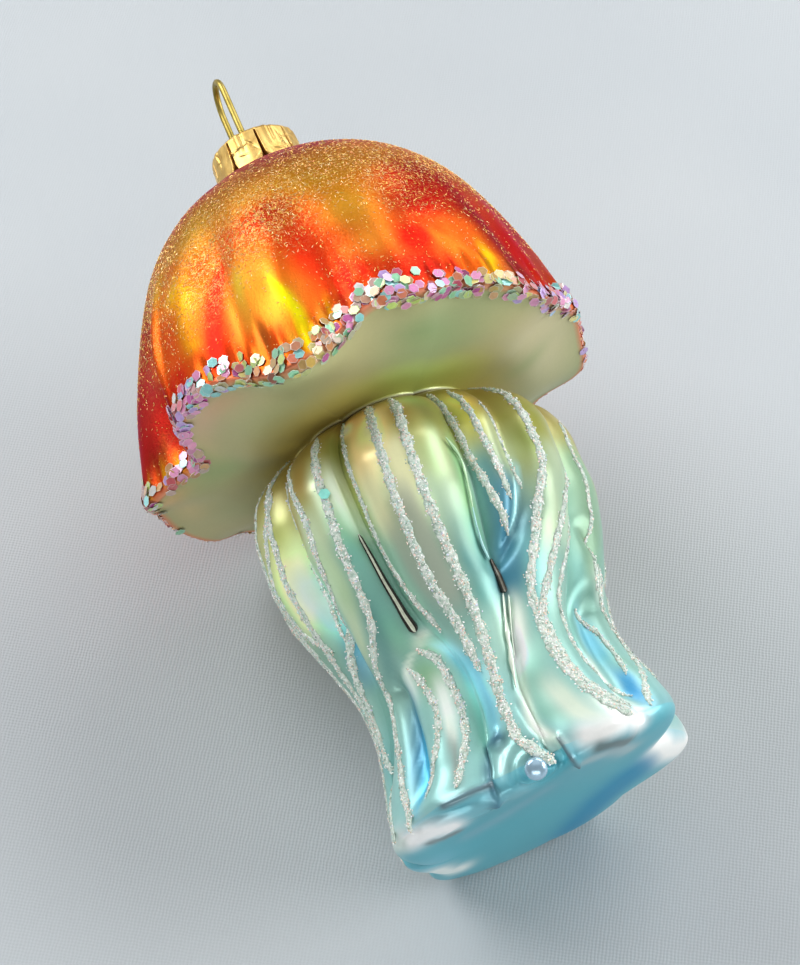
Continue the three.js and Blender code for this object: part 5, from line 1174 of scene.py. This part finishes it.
mat_clear, nt, b = material("clear_glass_run")
nt.links.new(attribute(nt, "paint").outputs["Color"], b.inputs["Base Color"])
b.inputs["Metallic"].default_value = 0.15
b.inputs["Roughness"].default_value = 0.10
b.inputs["Coat Weight"].default_value = 1.0
# the pale tone on the runs' crests is a painted highlight and the darker tone on their flanks is painted shade, on all
# four runs
RUN_HIGHLIGHT, SHADE = (232, 242, 226), (150, 180, 160)
ROUND = [(-1, -0.4, SHADE), (-0.9, 0.05, SHADE), (-0.45, 0.26, RUN_HIGHLIGHT), (0, 0.32, RUN_HIGHLIGHT), (0.45, 0.24, RUN_HIGHLIGHT), (0.9, 0.05, SHADE), (1, -0.4, SHADE)]
strip("clear_run_a", [(3.6, -40.2), (0.2, -43.4), (-2.6, -46.4), (-5.0, -49.4), (-7.2, -52.4)], [0.16, 0.20, 0.16, 0.42, 0.18, 0.46, 0.20, 0.12], ROUND, mat_clear, rise=0.45)
strip("clear_run_b", [(5.4, -40.6), (3.0, -43.0), (0.6, -45.4), (-2.0, -48.4)], [0.14, 0.22, 0.12, 0.12, 0.10], ROUND, mat_clear, rise=0.55)
strip("clear_run_c", [(3.6, -18.6), (6.2, -22.0), (4.4, -26.0), (3.0, -29.0)], [0.06, 0.20, 0.10, 0.22, 0.12, 0.16, 0.08], [(c, l, (214, 248, 208) if l > 0 else (120, 176, 120)) for c, l, _ in ROUND], mat_clear, rise=0.62)
strip("clear_run_d", [(3.3, -28.4), (2.0, -31.4), (1.8, -33.6), (2.6, -35.4)], [0.07, 0.14, 0.10, 0.20, 0.16], [(c, l, (196, 246, 246) if l > 0 else (56, 140, 160)) for c, l, _ in ROUND], mat_clear, rise=0.60)


# ---------------------------------------------------------------- crown cap and loop
def cap_surface(theta, z, inner=False):
    """Radius of the stamped cap at angle theta (degrees) and height z on the axis."""
    s = np.clip((CAP_TOP - z) / (CAP_TOP - CAP_BOTTOM), 0, 1)
    base = CAP_R + 0.1 + (CAP_SKIRT_R - CAP_R - 0.1) * s ** 2.2
    base = base - 0.9 * np.clip(1 - (CAP_TOP - z) / 0.9, 0, 1) ** 2
    panel = 360.0 / 9
    p = ((theta + 3.0) / panel) % 1.0
    d = np.minimum(p, 1 - p) * panel                       # degrees from the nearest slot
    slot = -1.25 * np.exp(-(d / (0.8 + 1.1 * s + 2.0 * step(0.75, 1.0, s))) ** 4) * step(0.04, 0.25, s)
    rib = 0.14 * np.exp(-(((p - 0.36) * panel) / 3.2) ** 2) * (1 - step(0.45, 0.75, s)) - 0.12 * np.exp(-(((p - 0.5) * panel) / 2.0) ** 2) * (1 - step(0.4, 0.7, s))
    roll = 0.22 * np.sin(np.radians(p * 360 * 2 + 40)) * (0.4 + 0.6 * s)
    crinkle = 0
    q = np.random.default_rng(77)
    for _ in range(48):
        c0, z0, ln, wd, am, tl = q.uniform(0, 360), q.uniform(CAP_BOTTOM, CAP_TOP - 1.5), q.uniform(3, 9), q.uniform(0.12, 0.2), q.choice([-1, 1, 1]) * q.uniform(0.10, 0.20), q.uniform(-1.4, 1.4)
        x, y = wrap(theta - c0) * 0.125, z - z0
        a, bb = x * math.cos(tl) + y * math.sin(tl), -x * math.sin(tl) + y * math.cos(tl)
        crinkle = crinkle + am * np.exp(-(bb / wd) ** 2 - (a / (ln * 0.16)) ** 2)
    return base + slot + rib + roll * 0.25 + crinkle - (0.35 if inner else 0.0)


n_th = 540
th = np.linspace(0, 360, n_th, endpoint=False)
tr = np.radians(th)
rows = []
wob = 0.12 * np.sin(np.radians(th * 9 + 30))
for f in (0.03, 0.25, 0.5, 0.72, 0.86, 0.95):
    rr = (CAP_R - 0.75) * f * np.ones(n_th) + wob * f
    dimple = 0.18 * np.sin(np.radians(th * 4.5)) * f * (1 - f) * 2
    rows.append((rr, np.full(n_th, CAP_TOP - 0.02) + dimple - 0.10 * f ** 4))
zs = np.concatenate([np.linspace(CAP_TOP - 0.08, CAP_TOP - 1.2, 8), np.linspace(CAP_TOP - 1.4, CAP_BOTTOM, 44)])
panel_p = ((th + 3.0) / 40.0) % 1.0
scal = 0.5 * np.abs(2 * panel_p - 1) ** 6                       # the panels' lower corners are rounded
for z in zs:
    s = (CAP_TOP - z) / (CAP_TOP - CAP_BOTTOM)
    rows.append((cap_surface(th, np.full(n_th, z)), np.full(n_th, z) + scal * step(0.75, 1, s)))
for z in zs[::-1][::3]:
    s = (CAP_TOP - z) / (CAP_TOP - CAP_BOTTOM)
    rows.append((np.maximum(cap_surface(th, np.full(n_th, z), True), NECK_R + 0.12), np.full(n_th, z) + scal * step(0.75, 1, s) + 0.02))
rows.append((np.full(n_th, NECK_R + 0.1), np.full(n_th, CAP_TOP - 0.5)))
rows.append((np.full(n_th, 0.2), np.full(n_th, CAP_TOP - 0.5)))
V = np.array([np.stack([NECK_X + rr * np.sin(tr), rr * np.cos(tr), zz], -1) for rr, zz in rows])
m = len(rows)
v = np.concatenate([V.reshape(-1, 3), [[NECK_X, 0, CAP_TOP - 0.02], [NECK_X, 0, CAP_TOP - 0.5]]])
jj = np.arange(n_th); kk = (jj + 1) % n_th
f4 = np.concatenate([np.stack([i * n_th + jj, (i + 1) * n_th + jj, (i + 1) * n_th + kk, i * n_th + kk], -1) for i in range(m - 1)])
f3 = np.concatenate([np.stack([np.full(n_th, m * n_th), jj, kk], -1), np.stack([np.full(n_th, m * n_th + 1), (m - 1) * n_th + kk, (m - 1) * n_th + jj], -1)])

mat_cap, nt, b = material("stamped_gold")
co = nt.nodes.new("ShaderNodeTexCoord").outputs["Object"]
cr = ramp(nt, noise(nt, co, 420, 3).outputs["Fac"], [(0.3, tuple(lin(206, 164, 88))), (0.7, tuple(lin(236, 202, 124)))])
nt.links.new(blend_colour(nt, cr.outputs["Color"], attribute(nt, "paint").outputs["Color"]), b.inputs["Base Color"])
b.inputs["Metallic"].default_value = 0.92
mr = nt.nodes.new("ShaderNodeMapRange")
mr.inputs["To Min"].default_value, mr.inputs["To Max"].default_value = 0.38, 0.50
nt.links.new(noise(nt, co, 900, 3).outputs["Fac"], mr.inputs["Value"])
nt.links.new(mr.outputs["Result"], b.inputs["Roughness"])
vor = nt.nodes.new("ShaderNodeTexVoronoi")
vor.feature = "DISTANCE_TO_EDGE"
vor.inputs["Scale"].default_value = 700
nt.links.new(co, vor.inputs["Vector"])
bp = node(nt, "ShaderNodeBump", Strength=0.18, Distance=0.0002)
nt.links.new(vor.outputs["Distance"], bp.inputs["Height"])
nt.links.new(bp.outputs["Normal"], b.inputs["Normal"])
groove = []
for rr, zz in rows:                                        # how deep each point lies in a groove, to darken it
    s_row = np.clip((CAP_TOP - zz) / (CAP_TOP - CAP_BOTTOM), 0, 1)
    d_row = np.minimum(panel_p, 1 - panel_p) * 40
    groove.append(np.exp(-(d_row / (1.2 + 1.2 * s_row + 1.8 * step(0.75, 1.0, s_row))) ** 4) * step(0.04, 0.2, s_row))
groove = np.concatenate([np.concatenate(groove), [0, 0]])
# dark brown in the cap's slots is painted shade
cap_tone = mix(np.tile(np.ones(3), (len(groove), 1)), np.array([0.40, 0.20, 0.08]), 0.9 * groove)
cap = make("stamped_crown_cap", place(v), [f4, f3], [mat_cap], True, {"paint": cap_tone})
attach(cap, "root"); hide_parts("crown_cap")

# the loop: spring wire, up one leg, round the top and down the other
half = LOOP_WIDTH / 2
leg = LOOP_TOP - WIRE / 2 - half * 1.15
pts = [(-half, z) for z in np.linspace(CAP_TOP - 0.3, leg, 14)]
pts += [(half * math.cos(math.radians(a)), leg + half * 1.15 * math.sin(math.radians(a))) for a in np.linspace(180, 0, 34)[1:-1]]
pts += [(half, z) for z in np.linspace(leg, CAP_TOP - 0.3, 14)]
pts = np.array(pts)
ctr = np.stack([np.full(len(pts), NECK_X + LOOP_X), pts[:, 0], pts[:, 1]], -1)
tan = np.gradient(ctr, axis=0); tan /= np.linalg.norm(tan, axis=1, keepdims=True)
out = np.array([1.0, 0.0, 0.0])
bi = np.cross(tan, out)
seg = 20
aa = np.linspace(0, 2 * np.pi, seg, endpoint=False)
tube = ctr[:, None] + (WIRE / 2) * (out[None, None] * np.cos(aa)[None, :, None] + bi[:, None] * np.sin(aa)[None, :, None])
m = len(ctr)
jj = np.arange(seg); kk = (jj + 1) % seg
f4 = np.concatenate([np.stack([i * seg + jj, i * seg + kk, (i + 1) * seg + kk, (i + 1) * seg + jj], -1) for i in range(m - 1)])
v = np.concatenate([tube.reshape(-1, 3), [ctr[0], ctr[-1]]])
f3 = np.concatenate([np.stack([np.full(seg, m * seg), kk, jj], -1), np.stack([np.full(seg, m * seg + 1), (m - 1) * seg + jj, (m - 1) * seg + kk], -1)])
mat_wire, nt, b = material("dull_gold_wire")
co = nt.nodes.new("ShaderNodeTexCoord").outputs["Object"]
cr = ramp(nt, noise(nt, co, 260, 3).outputs["Fac"], [(0.35, tuple(lin(140, 122, 56))), (0.5, tuple(lin(172, 150, 74))), (0.65, tuple(lin(196, 174, 96)))])
nt.links.new(cr.outputs["Color"], b.inputs["Base Color"])
b.inputs["Metallic"].default_value = 1.0
b.inputs["Roughness"].default_value = 0.42
wire = make("spring_wire_loop", place(v), [f4, f3], [mat_wire], True)
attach(wire, "root"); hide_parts("wire_loop")


# ---------------------------------------------------------------- floor, light, camera
def outward(ob):
    """Turns a closed mesh's faces outward."""
    me = ob.data
    me.calc_loop_triangles()
    co = np.zeros(len(me.vertices) * 3, np.float32); me.vertices.foreach_get("co", co); co = co.reshape(-1, 3).astype(float)
    t = np.zeros(len(me.loop_triangles) * 3, np.int32); me.loop_triangles.foreach_get("vertices", t); t = t.reshape(-1, 3)
    co = co - co.mean(0)
    vol = np.einsum("ij,ij->i", co[t[:, 0]], np.cross(co[t[:, 1]], co[t[:, 2]])).sum() / 6
    if vol < 0:
        me.flip_normals()
    return vol


for ob in OWN:
    vol = outward(ob)
    print("piece", ob.name, "tris", len(ob.data.loop_triangles), "volume mm3", round(vol * 1e9, 2))

bpy.ops.mesh.primitive_grid_add(x_subdivisions=8, y_subdivisions=8, size=4.0, location=(0, 0, 0))
floor = bpy.context.active_object
floor.name = "floor_cloth"
mat_floor, nt, b = material("pale_cloth")
co = nt.nodes.new("ShaderNodeTexCoord").outputs["Object"]
weave = []
for rot in (0.55, -1.02):
    mp = nt.nodes.new("ShaderNodeMapping")
    mp.inputs["Rotation"].default_value = (0, 0, rot)
    nt.links.new(co, mp.inputs["Vector"])
    wv = nt.nodes.new("ShaderNodeTexWave")
    wv.inputs["Scale"].default_value = 640
    wv.inputs["Distortion"].default_value = 2.2
    wv.inputs["Detail"].default_value = 1.0
    nt.links.new(mp.outputs["Vector"], wv.inputs["Vector"])
    weave.append(wv)
cross = nt.nodes.new("ShaderNodeMath"); cross.operation = "MULTIPLY"; cross.inputs[1].default_value = 0.45
nt.links.new(weave[1].outputs["Fac"], cross.inputs[0])
mm = nt.nodes.new("ShaderNodeMath"); mm.operation = "ADD"
nt.links.new(weave[0].outputs["Fac"], mm.inputs[0]); nt.links.new(cross.outputs[0], mm.inputs[1])
cr = ramp(nt, noise(nt, co, 14, 2).outputs["Fac"], [(0.3, tuple(lin(178, 184, 188))), (0.7, tuple(lin(184, 189, 192)))])
tint = ramp(nt, mm.outputs[0], [(0.0, (0.955,) * 3), (1.0, (1.0,) * 3)])
nt.links.new(blend_colour(nt, cr.outputs["Color"], tint.outputs["Color"]), b.inputs["Base Color"])
b.inputs["Roughness"].default_value = 0.6
b.inputs["Sheen Weight"].default_value = 0.15
bp = node(nt, "ShaderNodeBump", Strength=0.2, Distance=0.0001)
nt.links.new(mm.outputs[0], bp.inputs["Height"]); nt.links.new(bp.outputs["Normal"], b.inputs["Normal"])
floor.data.materials.append(mat_floor)


def area(name, loc, aim, size, size_y, power, colour=(1, 1, 1)):
    li = bpy.data.lights.new(name, "AREA")
    li.shape, li.size, li.size_y, li.energy, li.color = "RECTANGLE", size, size_y, power, colour
    ob = bpy.data.objects.new(name, li)
    ob.location = loc
    ob.rotation_mode = "QUATERNION"
    ob.rotation_quaternion = (Vector(aim) - Vector(loc)).to_track_quat("-Z", "Y")
    bpy.context.scene.collection.objects.link(ob)


area("window_left", (-0.60, 0.80, 0.75), (0, 0, 0.03), 0.9, 0.6, 13.4, (0.98, 0.99, 1.0))
area("window_right", (0.80, 0.60, 0.75), (0, 0, 0.03), 0.9, 0.6, 7.0, (0.98, 0.99, 1.0))
area("overhead", (0.05, 0.15, 1.2), (0, 0, 0.03), 1.4, 1.4, 3.3, (0.98, 0.99, 1.0))
area("side", (1.0, -0.4, 0.5), (0, 0, 0.03), 0.8, 0.6, 9.4, (1.0, 1.0, 1.0))
area("front_low", (-0.35, -1.0, 0.30), (0, 0, 0.03), 0.9, 0.4, 4.2, (1.0, 1.0, 0.99))
world = bpy.data.worlds.new("room")
bpy.context.scene.world = world
world.use_nodes = True
nt = world.node_tree
bg = nt.nodes["Background"]
tc = nt.nodes.new("ShaderNodeTexCoord")
sep = nt.nodes.new("ShaderNodeSeparateXYZ")
nt.links.new(tc.outputs["Generated"], sep.inputs[0])
wr = ramp(nt, sep.outputs["Z"], [(0.0, (0.98, 1.0, 1.02)), (0.4, (1.0, 1.0, 1.0)), (1.0, (0.92, 0.96, 1.0))])
nt.links.new(wr.outputs["Color"], bg.inputs["Color"])
bg.inputs["Strength"].default_value = 0.16
bpy.context.scene.view_settings.view_transform = "Standard"

cam_data = bpy.data.cameras.new("camera")
cam = bpy.data.objects.new("camera", cam_data)
bpy.context.scene.collection.objects.link(cam)
cam_data.sensor_width = 36.0
cam_data.lens = 2300 / 965 * 36.0
az, el = math.radians(-22.5), math.radians(52.0)
back = Vector((math.sin(az) * math.cos(el), -math.cos(az) * math.cos(el), math.sin(el)))
cam.location = (Vector((PLACE[0], PLACE[1], -FLOOR)) + Vector((-76.29, -198.48, 253.96))) / 1000
cam.rotation_mode = "QUATERNION"
cam.rotation_quaternion = (-back).to_track_quat("-Z", "Y")
cam_data.clip_start, cam_data.clip_end = 0.01, 20
bpy.context.scene.camera = cam
